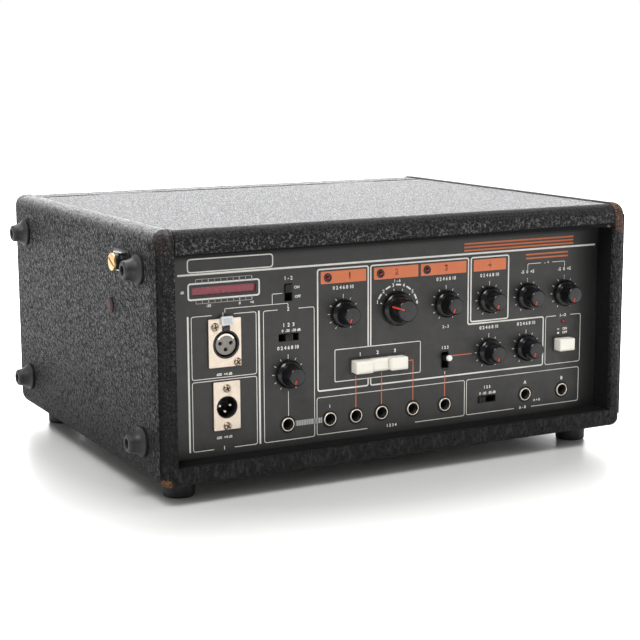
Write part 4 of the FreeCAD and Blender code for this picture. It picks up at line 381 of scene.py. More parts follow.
class Finish(Nodes):
    """A node material whose patterns are laid out in millimetres of the frame."""

    def __init__(self, name, color, rough, metal=0.0, **sockets):
        self.material = bpy.data.materials.new(name)
        self.material.use_nodes = True
        super().__init__(self.material.node_tree)
        self.shader = self.tree.nodes["Principled BSDF"]
        self.color = (*color, 1.0)
        self.feed(self.shader, Base_Color=self.color, Roughness=rough, Metallic=metal, **sockets)
        place = self.node("ShaderNodeTexCoord").outputs["Object"]
        self.place = self.vector("SCALE", place, scale=1 / MM)
        self.normal = None

    def vector(self, operation, first, second=None, scale=None):
        made = self.node("ShaderNodeVectorMath", operation=operation)
        self.link(first, made.inputs[0])
        if second is not None:
            self.link(second, made.inputs[1])
        if scale is not None:
            self.feed(made, Scale=scale)
        return made.outputs["Value" if operation in ("DISTANCE", "LENGTH") else "Vector"]

    def axis(self, name):
        """One coordinate of the place, in millimetres."""
        return self.feed(self.node("ShaderNodeSeparateXYZ"), Vector=self.place)[name]

    def stretched(self, x, y, z):
        """The place with its axes scaled, so that a pattern runs along one of them."""
        return self.vector("MULTIPLY", self.place, (x, y, z))

    def slanted(self, angle, long):
        """The place with patterns drawn out along a slope in the plane of the case's sides."""
        made = self.node("ShaderNodeMapping", vector_type="TEXTURE")
        rotation = (math.radians(angle), 0, 0)
        return self.feed(made, Vector=self.place, Rotation=rotation, Scale=(1.0, 1.0, long))["Vector"]

    def noise(self, size, detail=3.0, rough=0.55, twist=0.0, place=None, output="Fac"):
        made = self.node("ShaderNodeTexNoise")
        return self.feed(
            made, Vector=place or self.place, Scale=1 / size, Detail=detail, Roughness=rough, Distortion=twist
        )[output]

    def warped(self, size, reach, place=None):
        """The place pushed about by noise, so that straight patterns wander."""
        wander = self.noise(size, 2.0, 0.5, place=place, output="Color")
        shift = self.vector("SCALE", self.vector("SUBTRACT", wander, (0.5, 0.5, 0.5)), scale=reach)
        return self.vector("ADD", place or self.place, shift)

    def cracks(self, size, place, low, high):
        """Nought along the cracks of a pattern of cells, and one away from them."""
        made = self.node("ShaderNodeTexVoronoi", feature="DISTANCE_TO_EDGE")
        return self.ramp(self.feed(made, Vector=place, Scale=1 / size)["Distance"], low, high)

    def near(self, point, reach, ragged):
        """One within a reach of a point of the frame, nought beyond it, with a ragged edge."""
        away = self.vector("DISTANCE", self.place, point)
        wander = self.math("MULTIPLY", self.noise(3.0, 4.0, 0.7), ragged * reach * 2)
        limit = reach * (1 + ragged)
        return self.ramp(self.math("ADD", away, wander), limit, limit - NEAR_EDGE)

    def zone(self, **limits):
        """One inside limits in millimetres, given as X=(from, to), or X_out for the reach to either side."""
        share = 1.0
        for name, (start, end) in limits.items():
            part = self.math("ABSOLUTE", self.axis(name[0])) if name.endswith("_out") else self.axis(name)
            for limit, side in ((start, 1), (end, -1)):
                step = self.ramp(part, limit, limit + side)
                share = step if share == 1.0 else self.both(share, step)
        return share

    def under(self, name, plain):
        """What feeds one of the shader's sockets so far."""
        socket = self.shader.inputs[name]
        return socket.links[0].from_socket if socket.is_linked else plain

    def tint(self, share, color):
        """Lay another colour over the finish where a share says, on top of what is there."""
        made = self.node("ShaderNodeMix", data_type="RGBA")
        mixed = self.feed(made, Factor=share, A=self.under("Base Color", self.color), B=(*color, 1.0))
        self.feed(self.shader, Base_Color=mixed["Result"])

    def rough(self, source, low, high, start, end):
        """Let the gloss vary with a pattern."""
        self.feed(self.shader, Roughness=self.ramp(source, low, high, start, end))

    def dull(self, share, rough=1.0):
        """Take the gloss away where a share says."""
        under = self.under("Roughness", self.shader.inputs["Roughness"].default_value)
        self.feed(self.shader, Roughness=self.math("MAXIMUM", under, self.both(share, rough)))

    def bump(self, source, depth, strength=1.0):
        """Relief of a depth in millimetres on top of what is there."""
        made = self.node("ShaderNodeBump")
        self.feed(made, Distance=depth * MM, Strength=strength, Height=source)
        if self.normal:
            self.feed(made, Normal=self.normal)
        self.normal = made.outputs["Normal"]
        self.feed(self.shader, Normal=self.normal)


NEAR_EDGE = 1.5
# black for the grain's cracks, partly painted shade, and for the seams; and the painted shadow under the lip
CREVICE_BLACK, LIP_SHADOW_BLACK = (0.0005, 0.0005, 0.0005), (0.0005, 0.0005, 0.0008)
NEAR_BLACK, CLOTH_BLACK = (0.0015, 0.0015, 0.0018), (0.0025, 0.0025, 0.003)
# the grain's slope in degrees and stretch, and the size and relief of each of its patterns
GRAIN_SLOPE, GRAIN_LONG = -35.0, 1.9
CELL, CREASE, STROKE, SWELL, MOTTLE = 2.7, 1.35, 1.7, 1.8, 40.0
CELL_EDGE, CREASE_EDGE = 0.14, 0.22
CELL_DEEP, CREASE_DEEP, STROKE_HIGH, SWELL_HIGH = 0.65, 0.35, 0.4, 0.35


def grained(name, shine, dark, pale):
    """Leather-grain cloth: shining cells parted by dull cracks darkened partly with painted shade, and short
    slanting strokes painted pale as highlights of the raised grain.
    """
    cloth = Finish(name, dark, 0.40, Specular_IOR_Level=shine)
    slope = cloth.slanted(GRAIN_SLOPE, GRAIN_LONG)
    cells = cloth.cracks(CELL, cloth.warped(3.0, 3.4, slope), 0.0, CELL_EDGE)
    creases = cloth.cracks(CREASE, cloth.warped(1.7, 2.0, slope), 0.0, CREASE_EDGE)
    mottle = cloth.noise(MOTTLE, 5.0)
    swell = cloth.noise(SWELL, 1.5, twist=0.8, place=slope)
    level = cloth.math("SUBTRACT", cloth.noise(STROKE, 1.0, twist=1.2, place=slope), 0.5)
    lines = cloth.ramp(cloth.math("ABSOLUTE", level), 0.055, 0.025)
    strokes = cloth.both(lines, cloth.ramp(cloth.noise(2.6), 0.40, 0.50))
    height = cloth.both(cells, cloth.ramp(creases, 0.0, 1.0, 0.45, 1.0))
    calm = cloth.ramp(cloth.axis("Z"), CASE_TOP - 5.0, CASE_TOP - 1.5, 1.0, 0.5)
    cloth.tint(cloth.ramp(mottle, 0.35, 0.7, 0.0, 0.6), tuple(2 * part for part in dark))
    cloth.tint(cloth.ramp(swell, 0.50, 0.66, 0.0, 0.20), pale)
    # painted highlight: the slanting strokes of raised grain are made pale where they would catch the light
    cloth.tint(cloth.both(strokes, 0.9), tuple(4 * part for part in pale))
    # painted shade: the cracks and creases darkened, partly the grain's own dark
    cloth.tint(cloth.both(cloth.ramp(height, 0.75, 0.15, 0.0, 0.9), calm), CREVICE_BLACK)
    cloth.rough(height, 0.1, 0.9, 0.9, 0.34)
    cloth.bump(swell, SWELL_HIGH, 0.8)
    cloth.bump(cloth.both(cells, calm), CELL_DEEP)
    cloth.bump(cloth.both(creases, calm), CREASE_DEEP)
    cloth.bump(strokes, STROKE_HIGH)
    return cloth


# how far the parts of the cloth reach from the edges of the case, and past every surface
BEYOND = 9.0
BOARD_DEEP, ROUND_SHADE_START, RAIL_DEEP, LIP_DEEP, SEAM_DEEP = 3.0, 1.0, 24.0, 4.0, 30.0
RECESS_TURN, RECESS_FOOT = 1.2, 6.0
FOOT_TOP, FOOT_LOW = 125.0, 15.0
HIGHLIGHT_LOW, HIGHLIGHT_TOP, SHEEN_LOW, SHEEN_TOP = 9.0, 2.0, 3.5, 1.5
CRACKLE, CRACKLE_TOP, CRACKLE_FADE = 3.1, 10.0, 2.5
# the painted shadow under the lip, as high as this at its two ends
GAP_LEFT, GAP_RIGHT = 1.0, 3.2
SEAM_IN, SEAM_OUT = 1.6, 0.4
CORNER_DEEP, CORNER_IN = 14.0, 0.6
# places where the cloth is worn, with the reach and the raggedness of each
WORN_RIGHT = (CASE_RIGHT + 3.0, CASE_FRONT + 2.0, CASE_TOP - 3.0), 23.0, 0.35
WORN_LEFT = (CASE_LEFT + 3.0, CASE_FRONT, CASE_TOP - 3.0), 15.0, 0.3
WORN_FOOT = (CASE_LEFT + 4.0, CASE_FRONT + 2.0, SOLE + 2.0), 5.4, 0.6
NICK_PLACE = (CASE_LEFT, CASE_FRONT + 78.0, SOLE + 113.0), 1.6, 0.3
FRAYED_PLACE = (WALL - 6.0, CASE_FRONT + 1.0, LID_LOW), 2.4, 0.6
EDGE_WORN, WORN_BASE, WORN_EARTH = (0.34, 0.165, 0.105), (0.048, 0.028, 0.024), (0.10, 0.05, 0.025)
BARE_WOOD, NICK, FRAYED = (0.42, 0.17, 0.055), (0.30, 0.30, 0.30), (0.45, 0.38, 0.26)
# painted highlights along the top edges and on the top, and the lip's glints
EDGE_HIGHLIGHT, TOP_SHEEN, GLINT = (0.30, 0.30, 0.305), (0.24, 0.24, 0.245), (0.15, 0.15, 0.155)
RAIL_PALE, RECESS_SHADE = (0.058, 0.054, 0.050), (0.0012, 0.0012, 0.0022)
# the wrinkles of the side boards and of the front rail, drawn out along z
DRAWN, UPRIGHT = (0.42, 0.42, 0.05), (0.45, 0.45, 0.16)


def covering():
    """The case's cloth, wrinkled at the front and worn at its corners, with painted shade in the recess,
    under the lip, along the front edges and low down, and painted highlights along the top.
    """
    cloth = grained("covering", 0.30, (0.003, 0.003, 0.0035), (0.066, 0.067, 0.070))
    both, ramp, zone, height = cloth.both, cloth.ramp, cloth.zone, cloth.axis("Z")
    drawn = cloth.noise(1.0, 3.0, place=cloth.stretched(*DRAWN))
    upright = cloth.noise(1.0, 3.0, place=cloth.stretched(*UPRIGHT))
    ahead, outside, above = CASE_FRONT - BEYOND, CASE_RIGHT + BEYOND, LID_TOP + BEYOND
    rail_top = SOLE + PANEL_LOW

    board = zone(X_out=(WALL, outside), Y=(ahead, CASE_FRONT + BOARD_DEEP))
    # painted shade: the cloth darkened along the rounded front edges of the sides
    front_round_shade = zone(X_out=(WALL, outside), Y=(CASE_FRONT + ROUND_SHADE_START, CASE_FRONT + BEYOND))
    rail = zone(Z=(SOLE - BEYOND, rail_top + BOARD_DEEP), Y=(ahead, CASE_FRONT + RAIL_DEEP))
    # painted shade: the recess in front of the panel is blackened
    recess = zone(
        X_out=(-BEYOND, WALL + RECESS_TURN), Y=(CASE_FRONT + BOARD_DEEP, FACE + 1.0),
        Z=(rail_top - RECESS_FOOT, LID_LOW + 1.0),
    )
    lip_edge = zone(
        X_out=(-BEYOND, WALL), Y=(CASE_FRONT + 0.5, CASE_FRONT + BEYOND), Z=(LID_TOP - LIP_DEEP, above)
    )
    lip = zone(X_out=(-BEYOND, WALL), Y=(ahead, CASE_FRONT + LIP_DEEP), Z=(LID_LOW - BEYOND, above))
    seam = zone(
        X_out=(WALL - SEAM_IN, WALL + SEAM_OUT), Y=(ahead, CASE_FRONT + SEAM_DEEP),
        Z=(LID_LOW, CASE_TOP + BEYOND),
    )

    # painted shade: the cloth darkens towards the underside of the case
    low_shade = ramp(height, SOLE + FOOT_TOP, SOLE + FOOT_LOW, 0.0, 0.85)
    cloth.tint(low_shade, CLOTH_BLACK)
    # painted highlight, in patches, along the rounded top edges of the sides
    top_edge = ramp(height, CASE_TOP - HIGHLIGHT_LOW, CASE_TOP - HIGHLIGHT_TOP)
    highlight_patches = ramp(cloth.noise(2.4, 3.0, twist=0.8), 0.36, 0.60, 0.15, 1.0)
    cloth.tint(both(both(zone(X_out=(WALL + 2.0, outside)), top_edge), highlight_patches), EDGE_HIGHLIGHT)
    # painted highlight: the top of the case is made paler
    cloth.tint(ramp(height, CASE_TOP - SHEEN_LOW, CASE_TOP - SHEEN_TOP, 0.0, 0.35), TOP_SHEEN)

    low_lip = both(lip, ramp(height, LID_LOW + CRACKLE_TOP + CRACKLE_FADE, LID_LOW + CRACKLE_TOP))
    crackle = cloth.cracks(CRACKLE, cloth.warped(3.0, 3.0), 0.0, 1.0)
    plates = ramp(crackle, 0.05, 0.14)
    glints = both(ramp(crackle, 0.11, 0.06), ramp(cloth.noise(2.8, 1.0), 0.44, 0.56))
    cloth.tint(both(lip, 0.85), CLOTH_BLACK)
    cloth.tint(both(low_lip, glints), GLINT)
    # painted shadow: the cloth blackened along the lip's lower edge, higher towards the right
    gap_top = ramp(cloth.axis("X"), -WALL, WALL, LID_LOW + GAP_LEFT, LID_LOW + GAP_RIGHT)
    lip_shadow = both(lip, ramp(cloth.math("SUBTRACT", height, gap_top), 0.4, -0.3))
    for share, color in (
        (lip_shadow, LIP_SHADOW_BLACK),
        (seam, CREVICE_BLACK),
        (both(board, ramp(drawn, 0.35, 0.62, 0.9, 0.4)), CLOTH_BLACK),
        (both(front_round_shade, 0.75), CLOTH_BLACK),
        (both(rail, ramp(upright, 0.48, 0.66, 0.0, 0.6)), RAIL_PALE),
        (both(rail, ramp(upright, 0.35, 0.60, 0.95, 0.10)), CLOTH_BLACK),
        (both(lip_edge, 0.85), CLOTH_BLACK),
        (recess, RECESS_SHADE),
    ):
        cloth.tint(share, color)

    right_edge = zone(X=(WALL - CORNER_IN, outside), Y=(ahead, CASE_FRONT + CORNER_DEEP))
    left_edge = zone(X=(-outside, CORNER_IN - WALL), Y=(ahead, CASE_FRONT + BEYOND))
    corner = both(cloth.near(*WORN_RIGHT), right_edge)
    left_corner = both(cloth.near(*WORN_LEFT), left_edge)
    leather = ramp(cloth.noise(2.2, 5.0, 0.85), 0.48, 0.62)
    worn_foot = cloth.near(*WORN_FOOT)
    for share, color in (
        (both(corner, 0.9), WORN_BASE),
        (both(corner, leather), EDGE_WORN),
        (both(both(left_corner, leather), 0.16), EDGE_WORN),
        (worn_foot, WORN_EARTH),
        (both(worn_foot, ramp(cloth.noise(1.8, 4.0, 0.8), 0.46, 0.58)), BARE_WOOD),
        (cloth.near(*NICK_PLACE), NICK),
        (cloth.near(*FRAYED_PLACE), FRAYED),
    ):
        cloth.tint(share, color)

    for share, rough in (
        (low_shade, 0.7), (recess, 1.0), (seam, 1.0), (lip_edge, 0.7), (lip_shadow, 1.0), (front_round_shade, 0.7),
        (corner, 0.6),
    ):
        cloth.dull(share, rough)
    cloth.bump(both(board, drawn), 2.5)
    cloth.bump(both(low_lip, plates), 0.9)
    cloth.bump(both(rail, upright), 1.6)
    return cloth.material


def mottled(name, color, rough, other, low_rough, high_rough, metal=0.0, **sockets):
    """A plain surface with a faint mottle, uneven gloss and a soft relief."""
    paint = Finish(name, color, rough, metal, **sockets)
    paint.tint(paint.ramp(paint.noise(9.0), 0.3, 0.7, 0.0, 0.5), other)
    paint.rough(paint.noise(4.0, 4.0), 0.3, 0.7, low_rough, high_rough)
    paint.bump(paint.noise(0.5, 2.0), 0.02, 0.4)
    return paint


def satin(name, color, rough, metal=0.0, speck=0.35, **sockets):
    """A moulded or painted surface whose mottle is a little paler or darker than its colour."""
    other = tuple(part * (1 + speck) for part in color)
    return mottled(name, color, rough, other, rough * 0.85, min(rough * 1.2, 1.0), metal, **sockets).material


WALL_SHADE_WIDE, WALL_SHADE_FULL, LID_SHADOW_LOW, LID_SHADOW_TOP = 32.0, 4.0, 154.5, 158.0


def panel_paint():
    """The panel's paint, with painted shade towards the right wall of the recess and a painted shadow under
    the lid.
    """
    paint = mottled("panel_paint", (0.0250, 0.0238, 0.0226), 0.45, (0.031, 0.030, 0.029), 0.38, 0.54)
    side = paint.ramp(paint.axis("X"), PANEL_RIGHT - WALL_SHADE_WIDE, PANEL_RIGHT - WALL_SHADE_FULL, 0.0, 0.9)
    lid_shadow = paint.ramp(paint.axis("Z"), SOLE + LID_SHADOW_LOW, SOLE + LID_SHADOW_TOP, 0.0, 0.95)
    # painted shade by the right wall and painted shadow under the lid
    painted_shade = paint.math("MAXIMUM", side, lid_shadow)
    paint.tint(painted_shade, NEAR_BLACK)
    paint.dull(painted_shade, 0.8)
    return paint.material


def brushed(name, color, rough, stretch, metal=1.0, dirt=(0.10, 0.07, 0.05), amount=0.35):
    """Metal with fine scratches along one way and a little dirt in broad patches."""
    face = Finish(name, color, rough, metal)
    lines = face.noise(1.0, 3.0, place=face.stretched(*stretch))
    face.tint(face.ramp(face.noise(7.0, 4.0), 0.52, 0.75, 0.0, amount), dirt)
    face.rough(lines, 0.3, 0.7, rough * 0.75, min(rough * 1.35, 1.0))
    face.bump(lines, 0.02, 0.5)
    return face.material


COVERING = covering()
EDGE_CLOTH = grained("edge_cloth", 0.25, (0.002, 0.002, 0.002), (0.030, 0.030, 0.032)).material
PANEL_PAINT = panel_paint()
PRINT = satin("print_white", (0.88, 0.86, 0.81), 0.55, speck=-0.10)
ORANGE = satin("print_orange", (0.64, 0.165, 0.060), 0.55, speck=-0.15)
LABEL = satin("label_orange", (0.80, 0.22, 0.090), 0.5, speck=-0.1)
BROWN = satin("label_figures", (0.055, 0.018, 0.010), 0.55)
GREY_PRINT = satin("print_grey", (0.38, 0.38, 0.36), 0.55)
KNOB_GLOSS = satin("knob_gloss", (0.005, 0.005, 0.006), 0.17, speck=0.6, Specular_IOR_Level=0.36)
KNOB_CAP = satin("knob_cap", (0.022, 0.022, 0.023), 0.55)
POINTER = satin("pointer_red", (0.62, 0.045, 0.025), 0.4)
IVORY = satin("ivory", (0.94, 0.90, 0.81), 0.30, speck=-0.06)
CREAM_NICKEL = brushed("pale_nickel", (0.88, 0.76, 0.63), 0.50, (1.0, 1.0, 0.3), metal=0.55, amount=0.10)
NICKEL = brushed("nickel", (0.66, 0.62, 0.56), 0.26, (2.5, 2.5, 0.3), amount=0.2)
SCREW = brushed("screw_nickel", (0.40, 0.32, 0.25), 0.26, (1.0, 1.0, 1.0), amount=0.6)
DULL_NICKEL = brushed("dull_nickel", (0.30, 0.29, 0.27), 0.42, (2.5, 2.5, 0.3), amount=0.3)
ZINC = brushed("zinc", (0.50, 0.50, 0.49), 0.42, (0.04, 1.6, 1.0), dirt=(0.30, 0.28, 0.25), amount=0.25)
DARK_STEEL = satin("dark_steel", (0.045, 0.045, 0.046), 0.45, 0.3)
BLACK = satin("black_plastic", (0.016, 0.016, 0.017), 0.42)
BLACK_METAL = satin("black_metal", (0.014, 0.014, 0.014), 0.36, 0.4)
RUBBER = satin("rubber", (0.009, 0.009, 0.010), 0.52)
BRASS = brushed("brass", (0.62, 0.42, 0.19), 0.33, (1.0, 1.0, 1.0), dirt=(0.16, 0.08, 0.03), amount=0.8)
RUST = brushed("dark_screw", (0.040, 0.019, 0.015), 0.55, (1.0, 1.0, 1.0), metal=0.6)
METER_RED = satin("red_acrylic", (0.30, 0.048, 0.068), 0.25, speck=0.1)
LED_RED = satin("red_lens", (0.22, 0.008, 0.012), 0.15)
GREY_PLASTIC = satin("grey_plastic", (0.24, 0.22, 0.20), 0.5)
RING_METAL = brushed("jack_ring", (0.92, 0.83, 0.70), 0.32, (1.0, 1.0, 1.0), metal=0.6, amount=0.2)
DEEP_BLACK = satin("deep_black", NEAR_BLACK, 0.6)
SLIDE_BLACK = satin("slide_black", (0.006, 0.005, 0.005), 0.45)
WHITE_TIP = satin("white_tip", (0.92, 0.91, 0.87), 0.4, speck=-0.1)
WHITE_LATCH = satin("white_latch", (0.78, 0.80, 0.82), 0.4, speck=-0.1)
TAPE_BROWN = satin("tape", (0.060, 0.030, 0.018), 0.35)
BOARD = satin("board", (0.22, 0.15, 0.05), 0.5)
WINDING = satin("coil_winding", (0.33, 0.17, 0.035), 0.45)
STRAP = satin("strap", (0.020, 0.020, 0.021), 0.6)

PAINTS = {
    "covering": COVERING, "dark_steel": DARK_STEEL, "black_plastic": BLACK, "rubber": RUBBER,
    "dark_screw": RUST, "nickel": NICKEL, "black_metal": BLACK_METAL, "panel_paint": PANEL_PAINT,
    "red_acrylic": METER_RED, "zinc": ZINC, "pale_nickel": CREAM_NICKEL, "grey_plastic": GREY_PLASTIC,
    "red_lens": LED_RED, "tape": TAPE_BROWN, "board": BOARD, "brass": BRASS, "strap": STRAP,
    "white_tip": WHITE_TIP, "white_latch": WHITE_LATCH, "knob": KNOB_GLOSS, "ivory": IVORY,
}
SLOT_OF = {entry["node"]: entry["material_slot"] for entry in frame["record"]["subparts"]}
SLOT_OF |= {"lid_hinges": "black_metal", "frame_hinges": "black_metal"}
for node_name, item in frame["nodes"].items():
    for material_slot in item.material_slots:
        material_slot.material = PAINTS[SLOT_OF[node_name]]


# ---------------------------------------------------------------- knobs

KNOB_RESTS = {
    "input_volume": -161, "chorus_intensity": -153, "echo_volume": -152, "reverb_volume": -152,
    "bass": -153, "treble": -168, "echo_intensity": -172, "repeat_rate": -154,
}
MODE_REST = -72
KNOB_RADII, MODE_RADII = (10.5, 8.0, 6.35), (13.0, 10.2, 8.0)
LIFT, SHOULDER, SKIRT_BEVEL, CAP_RIM = 0.6, 5.2, 1.6, 0.5
GROOVE_WIDE, GROOVE_DEEP, SHAFT = 1.5, 0.9, 3.0


def knob(control, skirt, waist, cap, turn, tail=False):
    """A glossy knob with a bevelled skirt, a tapered body, a matt cap and a red pointer in a dark groove."""
    node = f"{control}_knob"
    high, shaft_end = (FACE - corner.y for corner in corners(node))
    near, far, half = cap * 0.30, cap - 0.75, GROOVE_WIDE / 2
    groove_floor = high - GROOVE_DEEP
    form = Form(on_panel(*spot(node), turn))
    form.lathe([
        (0, LIFT), (skirt, LIFT), (skirt, SHOULDER - SKIRT_BEVEL), (skirt - SKIRT_BEVEL, SHOULDER),
        (waist + 0.3, SHOULDER), (waist - 0.3, SHOULDER + 0.9), (cap + 0.35, high - 0.9),
        (cap - 0.3, high - 0.1), (cap - CAP_RIM, high - 0.35), (cap - CAP_RIM, groove_floor),
        (0, groove_floor),
    ], KNOB_GLOSS, soft=0.7, count=72)
    groove = pane_line(0, (near + far) / 2, GROOVE_WIDE, far - near, 0.2, 3)
    form.slab(round_line(0, 0, cap - CAP_RIM - 0.05, 60), groove_floor, high, KNOB_CAP, (groove,), bevel=0.15)
    form.block((0.25 - half, near + 0.4, groove_floor), (half - 0.25, far - 0.05, high - 0.05), POINTER, 0.1)
    if tail:
        top, foot = high - 0.9, SHOULDER + 3.5
        slant = (waist - cap - 0.65) / (high - SHOULDER - 1.8)
        reach = cap + 0.35 + (top - foot) * slant
        line = [
            (cap - 0.4, high - 0.12), (cap + 0.25, high - 0.5), (cap + 0.50, top), (reach + 0.15, foot),
            (cap - 0.4, high - 0.6), (cap - 0.1, high - 0.9), (cap, top - 0.3), (reach - 0.4, foot),
        ]
        points = [(side * (half - 0.1), y, z) for y, z in line for side in (-1, 1)]
        faces = [[0, 1, 9, 8], [6, 14, 15, 7]]
        for step in (0, 2, 4):
            faces += [
                [step, step + 2, step + 3, step + 1], [step + 8, step + 9, step + 11, step + 10],
                [step, step + 8, step + 10, step + 2], [step + 1, step + 3, step + 11, step + 9],
            ]
        form.add(points, faces, POINTER)
    form.rod(SHAFT, shaft_end, LIFT, NICKEL, count=32)
    form.piece(f"{control}_dial", control, "knob", node, sharp=50)


for control, rest in KNOB_RESTS.items():
    knob(control, *KNOB_RADII, rest)
knob("mode", *MODE_RADII, MODE_REST, tail=True)


# ---------------------------------------------------------------- print on the panel

INK = 0.06
HEAVY, FIELD, BRACKET, FINE, HAIR = 1.3, 1.1, 0.6, 0.45, 0.4
LABEL_FIGURE, FIGURE, LEGEND, MEDIUM, SMALL = 4.4, 2.6, 2.5, 2.2, 1.9
BOLD, BOLDER = 0.028, 0.035

printing = Form(PANEL)


def stroke(line, wide, paint=PRINT, closed=False):
    printing.ribbon(line, wide, paint, 0.0, INK, closed)


def figures(text, x, z, size=FIGURE, paint=PRINT, bold=BOLD):
    printing.write(text, x, z, size, paint, INK, bold)


def patch(x, z, wide, high, paint, corner=0.0):
    printing.slab(pane_line(x, z, wide, high, corner), 0.0, INK, paint)


def boxed(left, low, right, top, gap=None, above=True, line=0.48, corner=1.8, paint=PRINT):
    """A frame line with rounded corners, left open between the two ends of a gap."""
    start, end = gap or ((left + right) / 2, (left + right) / 2)
    edge, far = (top, low) if above else (low, top)
    path = [(end, edge), (right, edge), (right, far), (left, far), (left, edge), (start, edge)]
    path = soften(path, corner)
    stroke(path if gap else path[:-1], line, paint, closed=not gap)


def framed(x, z, wide, high, grow, **looks):
    """A closed frame line round a middle, grown past a width and a height."""
    boxed(x - wide / 2 - grow, z - high / 2 - grow, x + wide / 2 + grow, z + high / 2 + grow, **looks)


def ray(x, z, near, far, angle):
    """A line that points away from a middle, at an angle counted clockwise from the top."""
    across, up = math.sin(math.radians(angle)), math.cos(math.radians(angle))
    return [(x + near * across, z + near * up), (x + far * across, z + far * up)]


# header line, and the places where the maker's words stood
HEADER_LEFT, HEADER_INSET, HEADER_Z, HEADER_LINE = -176.7, 2.5, 145.8, 1.4
NAME_MIDDLE, NAME_WIDE, NAME_HIGH = (-136.0, 152.0), 66.0, 9.2
TITLE_BARS = (60.0, 163.0), (148.4, 151.0, 153.6)
NUMBER_BARS = (117.5, 158.0), (138.7, 141.7)
stroke([(HEADER_LEFT, HEADER_Z), (PANEL_RIGHT - HEADER_INSET, HEADER_Z)], HEADER_LINE)
framed(*NAME_MIDDLE, NAME_WIDE, NAME_HIGH, 0.0, line=0.9, corner=2.5)
for (left, right), heights in (TITLE_BARS, NUMBER_BARS):
    for z in heights:
        stroke([(left, z), (right, z)], HEAVY, ORANGE)

# level meter
METER = spot("meter_window")
METER_SIZE = corners("meter_window")[1] - corners("meter_window")[0]
METER_EDGE, METER_FIRST, METER_STEP, METER_REACH = 1.7, METER[0] - 21.6, 4.8, 3.0
METER_DROP, METER_ASIDE, METER_BOLD = 4.9, 6.4, 0.8
METER_MARKS = [METER_FIRST + number * METER_STEP for number in range(10)]
METER_FIGURES = {2: "-20", 7: "0", 9: "+6"}
METER_HALF = METER_SIZE.z / 2 + METER_EDGE
framed(*METER, METER_SIZE.x, METER_SIZE.z, METER_EDGE, line=1.2)
# a black line just inside the window's edge: a painted shadow of its rim
framed(*METER, METER_SIZE.x, METER_SIZE.z, -0.3, line=1.4, corner=0.5, paint=BLACK)
for side in (1, -1):
    near = METER[1] + side * METER_HALF
    far = near + side * METER_REACH
    for number, x in enumerate(METER_MARKS):
        stroke([(x, near), (x, far)], METER_BOLD if number in METER_FIGURES else HAIR, GREY_PRINT)
    stroke([(METER_MARKS[0], far), (METER_MARKS[-1], far)], HAIR, GREY_PRINT)
for number, text in METER_FIGURES.items():
    figures(text, METER_MARKS[number], METER[1] - METER_HALF - METER_DROP, SMALL)
figures("dB", METER[0] - METER_SIZE.x / 2 - METER_ASIDE, METER[1], SMALL)

# bars, frames and figures of the inputs and outputs on the left
BAR_XS, BAR_LOW, BAR_TOP = (-169.5, -114.3), 18.5, 116.4
DIRECT_X, LEVEL_X = spot("direct_slider")[0], spot("input_level_slider")[0]
DIRECT_BRACKET = (-141.0, 117.3), (-141.0, 120.0), (-91.0, 120.0), (-91.0, 117.3)
DIRECT_LEAD = (-103.6, 120.0), (-103.6, 127.5), (-95.6, 127.5)
INPUT_X, INPUT_LEAD = spot("input_volume_knob")[0], (55.0, 36.6)
JACK_Z = spot("jack_sockets")[1]
STRIPES, STRIPE_FIRST, STRIPE_STEP, STRIPE_WIDE, STRIPE_HIGH = 12, -85.8, 2.0, 1.7, 4.0
for x in BAR_XS:
    stroke([(x, BAR_LOW), (x, BAR_TOP)], HEAVY)
# each frame's edges, the gap in it, and whether the gap is at the top
for left, low, right, top, gap, above in (
    (-166.9, 70.7, -116.6, 115.9, (-151.0, -134.0), True),
    (-166.9, 18.7, -116.6, 68.9, (-151.0, -134.7), False),
    (-110.8, 18.7, -69.7, 115.7, (-99.4, -82.4), True),
):
    boxed(left, low, right, top, gap, above)
for text, x, z, size in (
    ("1", -142.5, 115.9, FIGURE), ("2", -90.9, 115.7, FIGURE), ("600  +4 dB", -142.0, 72.8, SMALL),
    ("600  +4 dB", -142.6, 26.8, SMALL), ("1", -142.8, 18.9, FIGURE),
):
    figures(text, x, z, size)
for bracket in (DIRECT_BRACKET, DIRECT_LEAD):
    stroke(soften(bracket, 0.8), FINE)
for text, x, z, size in (
    ("ON", -83.8, 131.1, SMALL), ("OFF", -83.0, 124.3, SMALL), ("1 - 2", DIRECT_X, 138.2, FIGURE),
    ("1  2  3", LEVEL_X, 104.0, FIGURE), ("0  -20  -50 dB", LEVEL_X + 2.0, 99.8, SMALL),
):
    figures(text, x, z, size)
stroke([(INPUT_X, z) for z in INPUT_LEAD], FINE)
for number in range(STRIPES):
    patch(STRIPE_FIRST + number * STRIPE_STEP, JACK_Z, STRIPE_WIDE, STRIPE_HIGH, GREY_PRINT)

# chorus, echo and reverb fields, with the button frame that crosses the first two
CHORUS_LEFT, CHORUS_RIGHT, FIELD_LOW, FIELD_TOP = -66.8, -24.4, 52.3, 142.6
ECHO_LEFT, ECHO_STEP, ECHO_SILL, ECHO_RIGHT = -22.2, 64.0, 91.1, 135.3
REVERB_LEFT, REVERB_LOW, REVERB_RIGHT = 66.5, 92.9, 101.2
BUTTON_LEFT, BUTTON_LOW, BUTTON_RIGHT, BUTTON_TOP = -52.6, 57.9, 21.3, 82.0
LABEL_LOW, LABEL_TOP = 131.7, 140.8
LABEL_Z = (LABEL_LOW + LABEL_TOP) / 2
